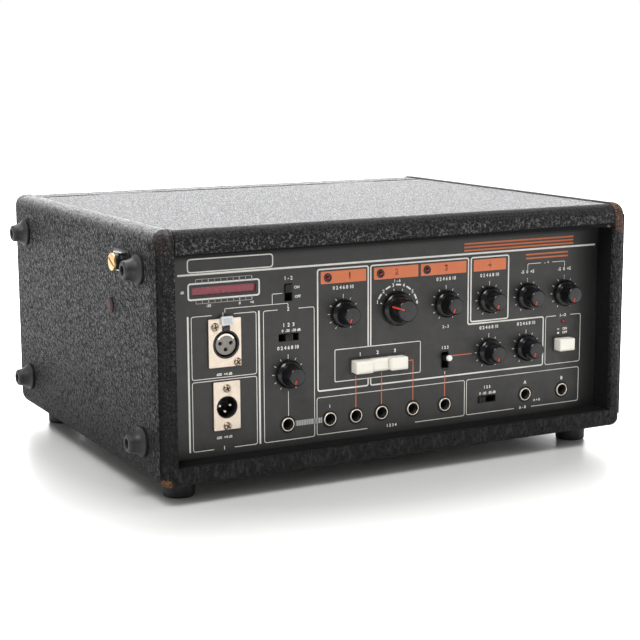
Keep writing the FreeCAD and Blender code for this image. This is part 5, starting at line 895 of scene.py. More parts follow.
# each orange label's two ends, with its figure and the figure's place
LABELS = (
    (-64.1, -26.2, "1", -40.0), (-19.4, 19.0, "2", 0.0), (21.3, 62.1, "3", 44.0), (68.8, 98.7, "4", 83.7),
)
stroke(soften([
    (CHORUS_RIGHT, BUTTON_TOP), (CHORUS_RIGHT, FIELD_TOP), (CHORUS_LEFT, FIELD_TOP), (CHORUS_LEFT, FIELD_LOW),
    (CHORUS_RIGHT, FIELD_LOW), (CHORUS_RIGHT, BUTTON_LOW),
], 1.8), FIELD)
stroke(soften([
    (ECHO_LEFT, BUTTON_TOP), (ECHO_LEFT, FIELD_TOP), (ECHO_STEP, FIELD_TOP), (ECHO_STEP, ECHO_SILL),
    (ECHO_RIGHT, ECHO_SILL), (ECHO_RIGHT, FIELD_LOW), (ECHO_LEFT, FIELD_LOW), (ECHO_LEFT, BUTTON_LOW),
], 1.8), FIELD)
boxed(REVERB_LEFT, REVERB_LOW, REVERB_RIGHT, FIELD_TOP, line=FIELD)
boxed(BUTTON_LEFT, BUTTON_LOW, BUTTON_RIGHT, BUTTON_TOP, line=BRACKET, corner=1.2)
for left, right, text, x in LABELS:
    patch((left + right) / 2, LABEL_Z, right - left, LABEL_TOP - LABEL_LOW, LABEL, 0.5)
    figures(text, x, LABEL_Z, LABEL_FIGURE, BROWN, BOLDER)

# scales round the knobs
TICK_NEAR, TICK_FAR, TICK_TOP, DASH, DASH_STEP = 11.2, 12.9, 14.4, 0.7, 1.2
LEGEND_RISE = 19.2
SCALE, CENTRED_SCALE, CENTRED = "0 2 4 6 8 10", "-5  0  +5", ("bass", "treble")
for control in KNOB_RESTS:
    x, z = spot(f"{control}_knob")
    for angle in range(-150, 151, 30):
        if angle == 0 and control in CENTRED:
            for number in range(3):
                near = TICK_NEAR + number * DASH_STEP
                stroke(ray(x, z, near, near + DASH, angle), BRACKET)
        else:
            stroke(ray(x, z, TICK_NEAR, TICK_TOP if angle == 0 else TICK_FAR, angle), FINE)
    figures(CENTRED_SCALE if control in CENTRED else SCALE, x, z + LEGEND_RISE, LEGEND)
MODE = spot("mode_knob")
MODE_FIRST, MODE_STEP, MODE_PLACES = -71.0, 30.0, 6
MODE_NEAR, MODE_FAR, MODE_RING, MODE_GAP, MODE_TOP = 13.7, 15.1, 17.9, 8, 129.6
for number in range(MODE_PLACES):
    angle = MODE_FIRST + number * MODE_STEP
    stroke(ray(*MODE, MODE_NEAR, MODE_FAR, angle), BRACKET)
    figures(str(number + 1), *ray(*MODE, MODE_RING, MODE_RING, angle)[0])
    if number < MODE_PLACES - 1:
        stroke(arc(*MODE, MODE_RING, angle + MODE_GAP, angle + MODE_STEP - MODE_GAP, 8), HEAVY)
figures("1 - 6", MODE[0], MODE_TOP, MEDIUM)
figures("2 - 3", spot("echo_volume_knob")[0], ECHO_SILL, MEDIUM)

# tone bracket over the bass and treble knobs
TONE_LEFT, TONE_RIGHT, TONE_Z, TONE_DROP = 132.0, 143.0, 134.4, 4.5
for control, end in (("bass", TONE_LEFT), ("treble", TONE_RIGHT)):
    start = spot(f"{control}_knob")[0]
    stroke(soften([(start, TONE_Z - TONE_DROP), (start, TONE_Z), (end, TONE_Z)], 0.8), FINE)
figures("-  +", (TONE_LEFT + TONE_RIGHT) / 2, TONE_Z, MEDIUM)

# buttons, toggle and the lines down to the jacks
BUTTONS = [spot(f"{name}_button") for name in ("chorus", "echo", "sound")]
TOGGLE = spot("toggle_lever")[0], 65.2
JACK_XS = (-91.9, -57.0, -34.9, -12.8, 14.6, 43.4, 118.7, 154.3)
WIRE, WIRE_LOW, BUTTON_EDGE = 0.7, JACK_Z + 6.2, BUTTONS[0][1] - 5.6
SOUND_EDGE, SOUND_LEAD = BUTTONS[2][0] + 8.4, JACK_XS[4] + 0.2
TOGGLE_EDGE, TOGGLE_LEAD, TOGGLE_LEAD_Z = TOGGLE[0] + 4.4, 67.9, 67.9
for text, (x, z) in zip("123", BUTTONS):
    figures(text, x, z + 8.7)
for text, rise in (("1 2 3", 9.6), ("1", -10.0)):
    figures(text, TOGGLE[0], TOGGLE[1] + rise, MEDIUM)
for line in (
    [(JACK_XS[2], BUTTON_EDGE), (JACK_XS[2], WIRE_LOW)],
    [(JACK_XS[3], BUTTON_EDGE), (JACK_XS[3], WIRE_LOW)],
    [(SOUND_EDGE, BUTTONS[2][1]), (SOUND_LEAD, BUTTONS[2][1]), (SOUND_LEAD, WIRE_LOW)],
    [(JACK_XS[5], TOGGLE[1] - 11.4), (JACK_XS[5], WIRE_LOW)],
    [(TOGGLE_EDGE, TOGGLE_LEAD_Z), (TOGGLE_LEAD, TOGGLE_LEAD_Z)],
):
    stroke(line, WIRE, ORANGE)

# the frames along the bottom and round the power button
OUT_LEVEL_X = 82.6
POWER_X, ON_Z, OFF_Z = 156.5, 79.9, 76.8
for left, low, right, top, gap, above in (
    (-67.7, 19.3, 61.6, 47.3, (-25.0, 17.0), False),
    (63.5, 19.6, 171.0, 47.4, (108.5, 125.0), False),
    (137.7, 52.1, 171.7, 90.9, (147.5, 161.5), True),
):
    boxed(left, low, right, top, gap, above)
for text, x, z, size in (
    ("1 2 3 4", -4.0, 19.4, MEDIUM), ("A - B", 116.7, 19.7, MEDIUM), ("I - O", 154.5, 90.9, MEDIUM),
    ("1", JACK_XS[1], 39.9, MEDIUM), ("1 2 3", OUT_LEVEL_X, 39.8, MEDIUM),
    ("0  -20  -35 dB", OUT_LEVEL_X + 0.5, 35.1, SMALL), ("A", JACK_XS[6], 39.8, FIGURE),
    ("B", JACK_XS[7], 39.8, FIGURE), ("A + B", 130.3, 24.4, SMALL), ("ON", POWER_X, ON_Z, SMALL),
    ("OFF", POWER_X, OFF_Z, SMALL),
):
    figures(text, x, z, size)
stroke([(POWER_X - 7.3, ON_Z), (POWER_X - 5.5, ON_Z)], 0.7)
patch(POWER_X - 6.4, OFF_Z, 1.8, 1.5, PRINT)
printing.piece("panel_print", "case", "panel_paint", sharp=30)


# ---------------------------------------------------------------- push buttons

BUTTON_WIDE, BUTTON_HIGH, BUTTON_LONG = 14.6, 9.7, 14.0
FACE_INSET, STEM_WIDE, STEM_HIGH = 2.6, 5.0, 3.0
SURROUND, SURROUND_GAP, SURROUND_THICK = 1.5, 0.4, 0.5
for name in ("chorus", "echo", "sound", "power"):
    node = f"{name}_button"
    front, tail = (FACE - corner.y for corner in corners(node))
    root = front - BUTTON_LONG
    cap = pane_line(0, 0, BUTTON_WIDE, BUTTON_HIGH, 1.0)
    face = pane_line(0, 0, BUTTON_WIDE - FACE_INSET, BUTTON_HIGH - FACE_INSET, 0.6)
    form = Form(on_panel(*spot(node)))
    form.slab(cap, root, front - 0.25, IVORY, bevel=1.3, count=5)
    form.slab(face, front - 0.6, front, IVORY, bevel=0.5, count=4)
    form.block((-STEM_WIDE / 2, -STEM_HIGH / 2, tail), (STEM_WIDE / 2, STEM_HIGH / 2, root + 1.0), BLACK, 0.2)
    form.piece(f"{name}_key", f"{name}_push", "ivory", node, sharp=60)

surrounds = Form(PANEL)
bank_wide = BUTTONS[2][0] - BUTTONS[0][0] + BUTTON_WIDE
for middle, wide in ((BUTTONS[1], bank_wide), (spot("power_button"), BUTTON_WIDE)):
    inside = pane_line(*middle, wide + 2 * SURROUND_GAP, BUTTON_HIGH + 2 * SURROUND_GAP, 0.9)
    edge = 2 * (SURROUND + SURROUND_GAP)
    outside = pane_line(*middle, wide + edge, BUTTON_HIGH + edge, 1.0)
    surrounds.slab(outside, 0, SURROUND_THICK, BLACK, [inside], bevel=0.2)
surrounds.piece("button_surrounds", "case", "black_plastic")


# ---------------------------------------------------------------- toggle and slide switches

TOGGLE_PIVOT, TOGGLE_TILT, TOGGLE_REACH, TIP_START = -9.0, -9.0, 17.0, 14.5
STICK = (0, -1.3), (1.3, -1.3), (1.3, 0), (2.0, 9.0), (2.4, 10.0), (2.4, 14.6), (0, 14.6)
AXLE, AXLE_REACH = 1.0, 4.5
TOGGLE_SLOT, BEZEL, BEZEL_THICK = (6.2, 15.0, 3.09), (7.7, 16.5, 3.8), 0.12
lever = Form(PANEL @ at(*TOGGLE, TOGGLE_PIVOT) @ turned(TOGGLE_TILT, "X"))
lever.lathe(STICK, BLACK, soft=0.3, count=40)
lever.lathe([
    (0, TIP_START), (2.3, TIP_START), (2.3, TOGGLE_REACH - 0.8), (1.8, TOGGLE_REACH), (0, TOGGLE_REACH),
], WHITE_TIP, soft=0.4, count=40)
lever.rod(AXLE, -AXLE_REACH, AXLE_REACH, NICKEL, RIGHTWARD, count=24)
lever.piece("toggle_stick", "toggle", "white_tip", "toggle_lever", sharp=50)

bezel = Form(PANEL)
bezel.slab(pane_line(*TOGGLE, *BEZEL), 0.0, BEZEL_THICK, DEEP_BLACK, [pane_line(*TOGGLE, *TOGGLE_SLOT)])
bezel.piece("toggle_bezel", "case", "panel_paint")

# each slide switch's body, and the axis along which it moves
SLIDERS = {"direct": 2, "input_level": 0, "output_level": 0}
THUMB_RIBS, RIB_START, RIB_END, RIB_DEEP, THUMB_DROP = 4, 0.15, 0.85, 1.4, 0.7
for body, axis in SLIDERS.items():
    node = f"{body}_slider"
    low, high = corners(node)
    form = Form()
    form.block(low + Vector((0, THUMB_DROP, 0)), high, SLIDE_BLACK, 0.25)
    step = (high[axis] - low[axis]) / THUMB_RIBS
    for number in range(THUMB_RIBS):
        start, end = low.copy(), Vector((high.x, low.y + RIB_DEEP, high.z))
        start[axis] = low[axis] + (number + RIB_START) * step
        end[axis] = low[axis] + (number + RIB_END) * step
        form.block(start, end, SLIDE_BLACK, 0.2)
    form.piece(f"{body}_thumb", body, "black_plastic", node)


# ---------------------------------------------------------------- three-pin connectors

PLATE_HIGH, SHADE_LAYER, SCREW_HOLE = 1.7, 1.1, 1.6
SOCKET_X, INPUT_Z, OUTPUT_Z = spot("xlr_plug")[0], 94.5, 48.9
SOCKET_ENDS, PLUG_ENDS = (78.3, 113.4), (32.4, 67.8)
RING, SHELL, CUP, CUP_WALL, INSERT, NOTCH = 10.3, 11.7, 8.15, 9.4, 7.8, 5.8
FLOOR, SHELL_END, CUP_END = -14.0, -22.0, -20.0
PIN = (0, -26), (1.2, -26), (1.2, -2.3), (0.5, -2.0), (0, -2.0)
CONTACT = (0, -12), (1.45, -12), (1.45, -1.0), (0.8, -1.0), (0.8, -11), (0, -11)
PLUG_KEY = (5.0, 4.6, -12.0), (6.9, 6.4, 0.8)
SPRING_ARC, SPRING_WIDE, SPRING_LOW, SPRING_TOP = 58, 1.3, 0.4, 1.0
LATCH_LOW, LATCH_TOP, LATCH_HALF, LATCH_RIBS, RIB_HALF = 108.6, 115.0, 4.6, (110.4, 111.8, 113.2), 3.6
TONGUE_LOW, TONGUE_HALF = 104.5, 2.6
PIN_PLACES = ((-4.15, 0.6), (4.15, 0.6), (0.0, -3.9))
IN_SCREWS = ((SOCKET_X - 8.6, INPUT_Z + 13.2), (SOCKET_X + 8.6, INPUT_Z - 13.2))
OUT_SCREWS = ((SOCKET_X, OUTPUT_Z + 13.8), (SOCKET_X, OUTPUT_Z - 13.8))
SCREW_TURNS = (12, 40, 25, 60)
# the radius and the height of each kind of screw head
PLATE_SCREW, CASE_SCREW, FITTING_SCREW, HEAD_SCREW = (3.0, 1.5), (3.2, 1.5), (2.6, 1.3), (1.5, 0.9)
SHANK, SHANK_END = 1.4, -8.0


def keyed_line(x, y, radius, wide, top, count=40):
    """A circle with a slot going up from it, which can be grown."""
    def points(grow=0.0):
        reach, half = radius + grow, wide / 2 + grow
        start = math.degrees(math.asin(half / reach))
        return [(x - half, top + grow), (x + half, top + grow), *arc(x, y, reach, start, 360 - start, count)]
    return points


def flange(form, node, low, top, bore, screw_places):
    """A connector's pale plate with its screw holes, its lower part black as painted shade on the plate's
    sides.
    """
    left, right = (corner.x for corner in corners(node))
    plate = pane_line((left + right) / 2, (low + top) / 2, right - left, top - low, 0.8)
    holes = [round_line(x, z, SCREW_HOLE, 16) for x, z in screw_places]
    form.slab(plate, SHADE_LAYER, PLATE_HIGH, CREAM_NICKEL, [bore, *holes], bevel=0.3)
    # the plate's lower layer is black: painted shade on its sides
    form.slab(plate, 0, SHADE_LAYER, BLACK, [bore])


SOCKET_MIDDLE, PLUG_MIDDLE = at(SOCKET_X, INPUT_Z), at(SOCKET_X, OUTPUT_Z)
socket = Form(PANEL)
keyhole = keyed_line(SOCKET_X, INPUT_Z, RING, NOTCH, LATCH_LOW + 0.3)
flange(socket, "xlr_socket", *SOCKET_ENDS, keyhole, IN_SCREWS)
socket.lathe([
    (0, SHELL_END), (SHELL, SHELL_END), (SHELL, 0), (RING, 0), (RING, FLOOR), (0, FLOOR),
], BLACK, SOCKET_MIDDLE, count=60)
socket.lathe([
    (RING - 0.1, -0.5), (RING - 0.1, PLATE_HIGH - 0.6), (RING - 1.2, PLATE_HIGH - 0.2), (RING - 1.5, -0.5),
    (RING - 0.1, -0.5),
], BLACK, SOCKET_MIDDLE, soft=0.3, count=60)
socket.piece("balanced_socket", "case", "pale_nickel", "xlr_socket")

insert = Form(PANEL @ SOCKET_MIDDLE)
pin_holes = [round_line(x, z, 1.5, 24) for x, z in PIN_PLACES]
insert.slab(round_line(0, 0, INSERT, 60), FLOOR, 0.7, GREY_PLASTIC, pin_holes, bevel=0.5)
for x, z in PIN_PLACES:
    insert.lathe(CONTACT, BLACK, at(x, z), count=24)
spring = arc(0, 0, INSERT - 0.8, -SPRING_ARC, SPRING_ARC, 20)
insert.ribbon(spring, SPRING_WIDE, NICKEL, SPRING_LOW, SPRING_TOP)
insert.piece("balanced_contacts", "case", "grey_plastic", "xlr_insert")

latch = Form(PANEL @ at(SOCKET_X, 0))
latch_out = FACE - corners("xlr_latch")[0].y
latch_back, tongue_front = PLATE_HIGH + 0.3, PLATE_HIGH + 1.3
# half the width, the low and high edge, the back and front, the paint and the bevel of each block
for half, low, high, back, front, paint, bevel, count in (
    (LATCH_HALF, LATCH_LOW, LATCH_TOP, latch_back, latch_out, WHITE_LATCH, 0.7, 3),
    *((RIB_HALF, z - 0.3, z + 0.3, latch_out - 0.4, latch_out, WHITE_LATCH, 0.12, 2) for z in LATCH_RIBS),
    (TONGUE_HALF, TONGUE_LOW, LATCH_LOW + 0.1, 0.3, tongue_front, BLACK, 0.3, 2),
    (TONGUE_HALF, TONGUE_LOW, TONGUE_LOW + 1.0, -6.0, 1.3, BLACK, 0.2, 2),
    (TONGUE_HALF, LATCH_LOW - 1.0, LATCH_LOW + 1.0, latch_back, tongue_front, WHITE_LATCH, 0.2, 2),
):
    latch.block((-half, low, back), (half, high, front), paint, bevel, count=count)
latch.piece("push_latch", "latch", "white_latch", "xlr_latch")

plug = Form(PANEL)
flange(plug, "xlr_plug", *PLUG_ENDS, round_line(SOCKET_X, OUTPUT_Z, CUP, 60), OUT_SCREWS)
plug.lathe([
    (0, CUP_END), (CUP_WALL, CUP_END), (CUP_WALL, 0), (CUP, 0), (CUP, FLOOR), (0, FLOOR),
], BLACK, PLUG_MIDDLE, count=60)
plug.lathe([
    (CUP - 0.05, -1.0), (CUP - 0.05, PLATE_HIGH - 0.3), (CUP - 0.6, PLATE_HIGH - 0.2), (CUP - 0.8, -1.0),
    (CUP - 0.05, -1.0),
], BLACK, PLUG_MIDDLE, soft=0.2, count=60)
for x, z in PIN_PLACES:
    plug.lathe(PIN, NICKEL, PLUG_MIDDLE @ at(x, z), soft=0.5, count=24)
plug.block(*PLUG_KEY, BLACK, 0.3, PLUG_MIDDLE)
plug.piece("balanced_plug", "case", "pale_nickel", "xlr_plug")


def cross_screw(form, place, radius, high, turn):
    """A domed screw head with a cross cut in it, on a shank."""
    ring, floor = radius * 0.80, high - high * 0.75
    form.rod(SHANK, SHANK_END, 0, SCREW, place, count=16)
    form.lathe([
        (0, 0), (radius, 0), (radius, high * 0.4), (ring, high * 0.86), (ring, floor), (0, floor),
    ], SCREW, place, soft=0.35, count=40)
    cross = cross_line(0, 0, radius * 0.62, radius * 0.26, turn)
    form.slab(round_line(0, 0, ring - 0.03, 40), floor, high, SCREW, [cross], bevel=0.16, place=place)
    # the floor of the cross is black: painted shade in the recess
    form.slab(cross_line(0, 0, radius * 0.60, radius * 0.24, turn), floor, floor + 0.05, BLACK, place=place)


screws = Form(PANEL)
for turn, (x, z) in zip(SCREW_TURNS, IN_SCREWS + OUT_SCREWS):
    cross_screw(screws, at(x, z, PLATE_HIGH), *PLATE_SCREW, turn)
screws.piece("plate_screws", "case", "nickel", "connector_screws", sharp=50)


# ---------------------------------------------------------------- jacks and lamps

BORE, RING_IN, RING_OUT, COLLAR, JACK_BODY, JACK_DEEP = 3.8, 4.35, 5.05, 6.5, 15.0, -29.0
TUBE_IN, TUBE_END = 3.2, -26.0
jacks = Form(PANEL)
for x in JACK_XS:
    place = at(x, JACK_Z)
    body, bore = pane_line(0, 0, JACK_BODY, JACK_BODY, 1.0), round_line(0, 0, BORE, 32)
    jacks.slab(body, JACK_DEEP, -2, BLACK, [bore], 0.5, place)
    jacks.lathe([
        (RING_IN, -3), (RING_OUT, -3), (RING_OUT, 0.7), (RING_OUT - 0.2, 1.0), (RING_IN, 1.0), (RING_IN, -3),
    ], RING_METAL, place, soft=0.15)
    jacks.lathe([
        (BORE, -3), (RING_IN + 0.02, -3), (RING_IN + 0.02, 0.7), (BORE, -0.8), (BORE, -3),
    ], SCREW, place)
    collar, ring = round_line(0, 0, COLLAR), round_line(0, 0, RING_OUT + 0.02)
    jacks.slab(collar, 0, 0.35, DEEP_BLACK, [ring], 0.15, place)
    jacks.lathe([
        (TUBE_IN, TUBE_END), (BORE - 0.02, TUBE_END), (BORE - 0.02, -0.9), (TUBE_IN, -1.8),
        (TUBE_IN, TUBE_END),
    ], BLACK, place)
    jacks.rod(4.1, TUBE_END - 0.4, TUBE_END, BLACK, place, count=32)
jacks.piece("jacks", "case", "nickel", "jack_sockets", sharp=45)

LABEL_LAMPS = [(x, 136.1) for x in (-58.3, -13.8, 26.8)]
POWER_LAMP = 154.5, 86.3
LENS_SHAPE = (0, -5), (1.65, -5), (1.65, 0.5), (1.1, 1.45), (0, 1.65)
LAMP_RING = (
    (1.75, -5), (2.4, -5), (2.4, 0), (3.3, 0), (3.3, 0.4), (2.9, 0.8), (2.2, 0.8), (1.75, 0.1), (1.75, -5),
)
lamps = Form(PANEL)
for place in LABEL_LAMPS:
    lamps.lathe(LAMP_RING, DARK_STEEL, at(*place), soft=0.25, count=40)
for place in LABEL_LAMPS + [POWER_LAMP]:
    lamps.lathe(LENS_SHAPE, LED_RED, at(*place), soft=0.6, count=32)
lamps.piece("lamps", "case", "red_lens", "indicator_lamps", sharp=45)


# ---------------------------------------------------------------- lid lock

LOCK_DISC, LOCK_THICK, LOCK_SLOT, LOCK_TURN = 6.3, 1.6, 1.3, 60.0
LOCK_BARREL, LOCK_SHAFT, LOCK_PLATE, GUARD_HALF = 5.75, 2.9, 1.2, 0.5
CAM_LONG, CAM_WIDE, CAM_THICK, CAM_BACK = 12.5, 6.0, 2.5, 3.25
plate_low, plate_high = corners("lock_plate")
LOCK_Y = plate_low.y + 10.0
BARREL_LONG = CASE_LEFT - plate_low.x
CAM_DEEP = corners("lock_screw")[1].x - CASE_LEFT
SLOT_FLOOR = LOCK_THICK * 0.35
LOCK_FRAME = at(CASE_LEFT, LOCK_Y, (plate_low.z + plate_high.z) / 2) @ OUTWARD


def slot_line(reach, wide):
    """A straight slot through the middle that can be grown."""
    def points(grow=0.0):
        far, half = reach + grow, wide / 2 + grow
        return [(-far, -half), (far, -half), (far, half), (-far, half)]
    return points


barrel = Form(LOCK_FRAME)
plate_shift = (plate_low.y + plate_high.y) / 2 - LOCK_Y
plate = pane_line(0, plate_shift, plate_high.z - plate_low.z, plate_high.y - plate_low.y, 2.0)
barrel.slab(plate, 0, LOCK_PLATE, BLACK_METAL, [round_line(0, 0, LOCK_SHAFT + 0.3, 32)], bevel=0.4)
for side in (-1, 1):
    x = side * (LOCK_BARREL + GUARD_HALF)
    barrel.block((x - GUARD_HALF, -4.0, 1.0), (x + GUARD_HALF, 9.0, 5.5), ZINC, 0.3)
barrel.lathe([
    (LOCK_SHAFT + 0.1, 1.0), (LOCK_BARREL, 1.0), (LOCK_BARREL, 4.2), (LOCK_BARREL - 0.6, 4.6),
    (LOCK_BARREL - 0.6, 5.4), (LOCK_BARREL, 5.8), (LOCK_BARREL, BARREL_LONG - 0.6),
    (LOCK_BARREL - 0.5, BARREL_LONG - 0.1), (LOCK_SHAFT + 0.1, BARREL_LONG - 0.1), (LOCK_SHAFT + 0.1, 1.0),
], BLACK_METAL, soft=0.3)
barrel.piece("lock_barrel", "case", "black_metal", "lock_plate")

disc = Form(LOCK_FRAME @ at(0, 0, BARREL_LONG) @ turned(LOCK_TURN, "Z"))
shaft_end = -BARREL_LONG - CAM_DEEP + CAM_THICK
disc.lathe([
    (0, shaft_end), (LOCK_SHAFT, shaft_end), (LOCK_SHAFT, 0), (LOCK_DISC, 0), (LOCK_DISC, SLOT_FLOOR),
    (0, SLOT_FLOOR),
], BRASS, soft=0.25)
slot = slot_line(LOCK_DISC - 0.8, LOCK_SLOT)
disc.slab(round_line(0, 0, LOCK_DISC, 64), SLOT_FLOOR, LOCK_THICK, BRASS, [slot], bevel=0.35)
# the floor of the slot is black: painted shade in the slot
disc.slab(slot_line(LOCK_DISC - 0.85, LOCK_SLOT - 0.06), SLOT_FLOOR - 0.1, SLOT_FLOOR + 0.08, BLACK)
disc.piece("lock_disc", "lock", "brass", sharp=45)
cam = Form(LOCK_FRAME)
cam.slab(pane_line(0, -CAM_BACK, CAM_WIDE, CAM_LONG, 1.0), -CAM_DEEP, -CAM_DEEP + CAM_THICK, BRASS, bevel=0.3)
cam.piece("lock_cam", "lock", "brass", "lock_screw")


# ---------------------------------------------------------------- overlapped edges of the cloth

FLAP_START, FLAP_WIDE, FLAP_THICK, FLAP_STEP, FLAP_CLEAR = 3.6, 10.5, 0.5, 1.2, 9.0
EDGE_SHADE_WIDE, SUNK = 1.1, 0.4
flaps = Form()
for side, panel in ((-1, "side_panel_left"), (1, "side_panel_right")):
    low, high = corners(panel)
    outer = low.x if side < 0 else high.x
    start = CASE_FRONT + FLAP_START
    rows = int((high.z - low.z - 2 * FLAP_CLEAR) / FLAP_STEP)
    sheet, edge_shade = [], []
    for row in range(rows + 1):
        z = low.z + FLAP_CLEAR + row * FLAP_STEP
        wander = 2.2 * noise.noise((z / 19.0, side, 0)) + 1.1 * noise.noise((z / 3.5, side, 5))
        edge = start + FLAP_WIDE + wander
        shade_reach = edge + EDGE_SHADE_WIDE * (0.6 + noise.noise((z / 2.5, side, 9)))
        sheet += [(outer + side * out, y, z) for out, y in (
            (-SUNK, start), (FLAP_THICK, edge - 0.7), (FLAP_THICK * 0.8, edge), (-SUNK, edge),
        )]
        # a black strip along each flap's edge: painted shade where the flap overlaps the cloth
        edge_shade += [(outer + side * out, y, z) for out, y in (
            (-0.1, edge - 0.2), (0.05, edge - 0.2), (0.05, shade_reach), (-0.1, edge + EDGE_SHADE_WIDE),
        )]
    for points, paint in ((sheet, EDGE_CLOTH), (edge_shade, BLACK)):
        faces = [[0, 1, 2, 3], [rows * 4 + k for k in range(4)]]
        for here in range(0, rows * 4, 4):
            faces += [[here + k, here + (k + 1) % 4, here + 4 + (k + 1) % 4, here + 4 + k] for k in range(4)]
        flaps.add(points, faces, paint)
flaps.piece("cloth_edges", "case", "covering", sharp=50)


# ---------------------------------------------------------------- tape path on the deck

TAPE_LOW, TAPE_HIGH = corners("tape_loop")
BIN_LOW, BIN_HIGH = corners("tape_bin")
DECK, BIN_WALL = BIN_LOW.z, 2.0
TURN, FOLDS, FOLD_STEPS, FOLD_BULGE, TAPE_THICK = 8.0, 12, 14, 4.5, 0.3
FOLD_FRONT, FOLD_BACK, FOLD_INSET, TAPE_CLEAR = 16.0, 20.0, 12.0, 0.2


def tape_path():
    """The loop in plan: past the heads, round the guides, and in loose folds through the bin."""
    left, right, front, mouth = TAPE_LOW.x, TAPE_HIGH.x, TAPE_LOW.y, BIN_LOW.y + BIN_WALL
    line = [(right, mouth)]
    line += arc(right - TURN, front + TURN, TURN, 90, 180, 8)
    line += arc(left + TURN, front + TURN, TURN, 180, 270, 8)
    line.append((left, mouth))
    near, far = BIN_LOW.y + FOLD_FRONT, BIN_HIGH.y - FOLD_BACK
    start, end = left + FOLD_INSET, right - FOLD_INSET
    steps = FOLDS * FOLD_STEPS
    for step in range(steps + 1):
        share = step / steps
        angle = share * FOLDS * math.pi
        reach = (far - near) / 2 * (0.88 + 0.3 * noise.noise((share * 7.0, 0, 0)))
        line.append((
            start + share * (end - start) + FOLD_BULGE * math.sin(2 * angle),
            near + (far - near) / 2 - reach * math.cos(angle),
        ))
    return line


def tape_sink(place):
    """How far the tape sinks to the floor of the bin."""
    share = min(max((place.y - BIN_LOW.y - BIN_WALL) / FOLD_FRONT, 0.0), 1.0)
    return -share * (TAPE_LOW.z - BIN_LOW.z - BIN_WALL - TAPE_CLEAR)


tape = Form()
tape.ribbon(tape_path(), TAPE_THICK, TAPE_BROWN, TAPE_LOW.z, TAPE_HIGH.z, closed=True, lift=tape_sink)
tape.piece("tape", "case", "tape", "tape_loop", sharp=60)

HEAD_LOW, HEAD_HIGH = corners("tape_heads")
BLOCK_TOP = HEAD_LOW.z
HEAD_XS = (-112.0, -86.0, -52.0, -22.0, 8.0)
HEAD_WIDE, HEAD_ROUND, HEAD_BASE, HEAD_EDGE = 13.0, 3.0, 1.2, 3.4
GAP_PLACES, GAP_HALF, TERMINAL_HALF = (-0.5, 0.5), 0.12, HEAD_WIDE * 0.3
head_deep = HEAD_HIGH.y - HEAD_LOW.y
head_y = (HEAD_LOW.y + HEAD_HIGH.y) / 2
head_foot = BLOCK_TOP + HEAD_BASE
heads = Form()
for x in HEAD_XS:
    base = pane_line(x, head_y - 2.2, HEAD_WIDE + HEAD_EDGE, head_deep + 3.0, 1.0)
    heads.slab(base, BLOCK_TOP, head_foot, BRASS, bevel=0.2)
    shell = pane_line(x, head_y, HEAD_WIDE, head_deep, HEAD_ROUND)
    heads.slab(shell, head_foot, HEAD_HIGH.z, NICKEL, bevel=0.7)
    heads.block(
        (x - TERMINAL_HALF, HEAD_LOW.y - 2.4, head_foot),
        (x + TERMINAL_HALF, HEAD_LOW.y + 1.0, HEAD_HIGH.z - 3.0), BLACK, 0.4,
    )
    for gap in GAP_PLACES:
        heads.block(
            (x + gap - GAP_HALF, HEAD_HIGH.y - 0.3, BLOCK_TOP + 4.0),
            (x + gap + GAP_HALF, HEAD_HIGH.y + 0.02, HEAD_HIGH.z - 1.2), BLACK,
        )
    for side in (-1, 1):
        place = at(x + side * (HEAD_WIDE / 2 + 0.2), HEAD_LOW.y - 1.8, head_foot)
        cross_screw(heads, place, *HEAD_SCREW, 20.0 + 3 * x)
heads.piece("heads", "case", "nickel", "tape_heads", sharp=45)

BLOCK_LOW, BLOCK_HIGH = corners("head_block")
BLOCK_RIGHT = 72.0
GUIDE, FLANGE = TURN - TAPE_THICK / 2 - 0.3, TURN + 1.4
GUIDE_XS, GUIDE_Y = (TAPE_LOW.x + TURN, TAPE_HIGH.x - TURN), TAPE_LOW.y + TURN
post = BLOCK_HIGH.x - GUIDE_XS[1]
block = Form()
block.slab(
    pane_line(
        (BLOCK_LOW.x + BLOCK_RIGHT) / 2, (BLOCK_LOW.y + BLOCK_HIGH.y) / 2, BLOCK_RIGHT - BLOCK_LOW.x,
        BLOCK_HIGH.y - BLOCK_LOW.y, 2.5,
    ), DECK, BLOCK_TOP, BLACK_METAL, bevel=0.5,
)
block.rod(post, DECK, BLOCK_TOP, BLACK_METAL, at(GUIDE_XS[1], GUIDE_Y), soft=0.4)
for x in GUIDE_XS:
    block.lathe([
        (0, BLOCK_TOP), (GUIDE, BLOCK_TOP), (GUIDE, TAPE_LOW.z - 1.4), (FLANGE, TAPE_LOW.z - 1.2),
        (FLANGE, TAPE_LOW.z - 0.4), (GUIDE, TAPE_LOW.z - 0.1), (GUIDE, TAPE_HIGH.z + 0.1),
        (FLANGE, TAPE_HIGH.z + 0.4), (FLANGE, TAPE_HIGH.z + 1.2), (GUIDE - 2.0, TAPE_HIGH.z + 1.4),
        (3.0, BLOCK_HIGH.z), (0, BLOCK_HIGH.z),
    ], NICKEL, at(x, GUIDE_Y), soft=0.3)
for x in (BLOCK_LOW.x + 6, -36.0, BLOCK_RIGHT - 6):
    for y in (BLOCK_LOW.y + 4, BLOCK_HIGH.y - 5):
        cross_screw(block, at(x, y, BLOCK_TOP), *FITTING_SCREW, 15.0 + x)
block.piece("guide_block", "case", "black_metal", "head_block", sharp=45)

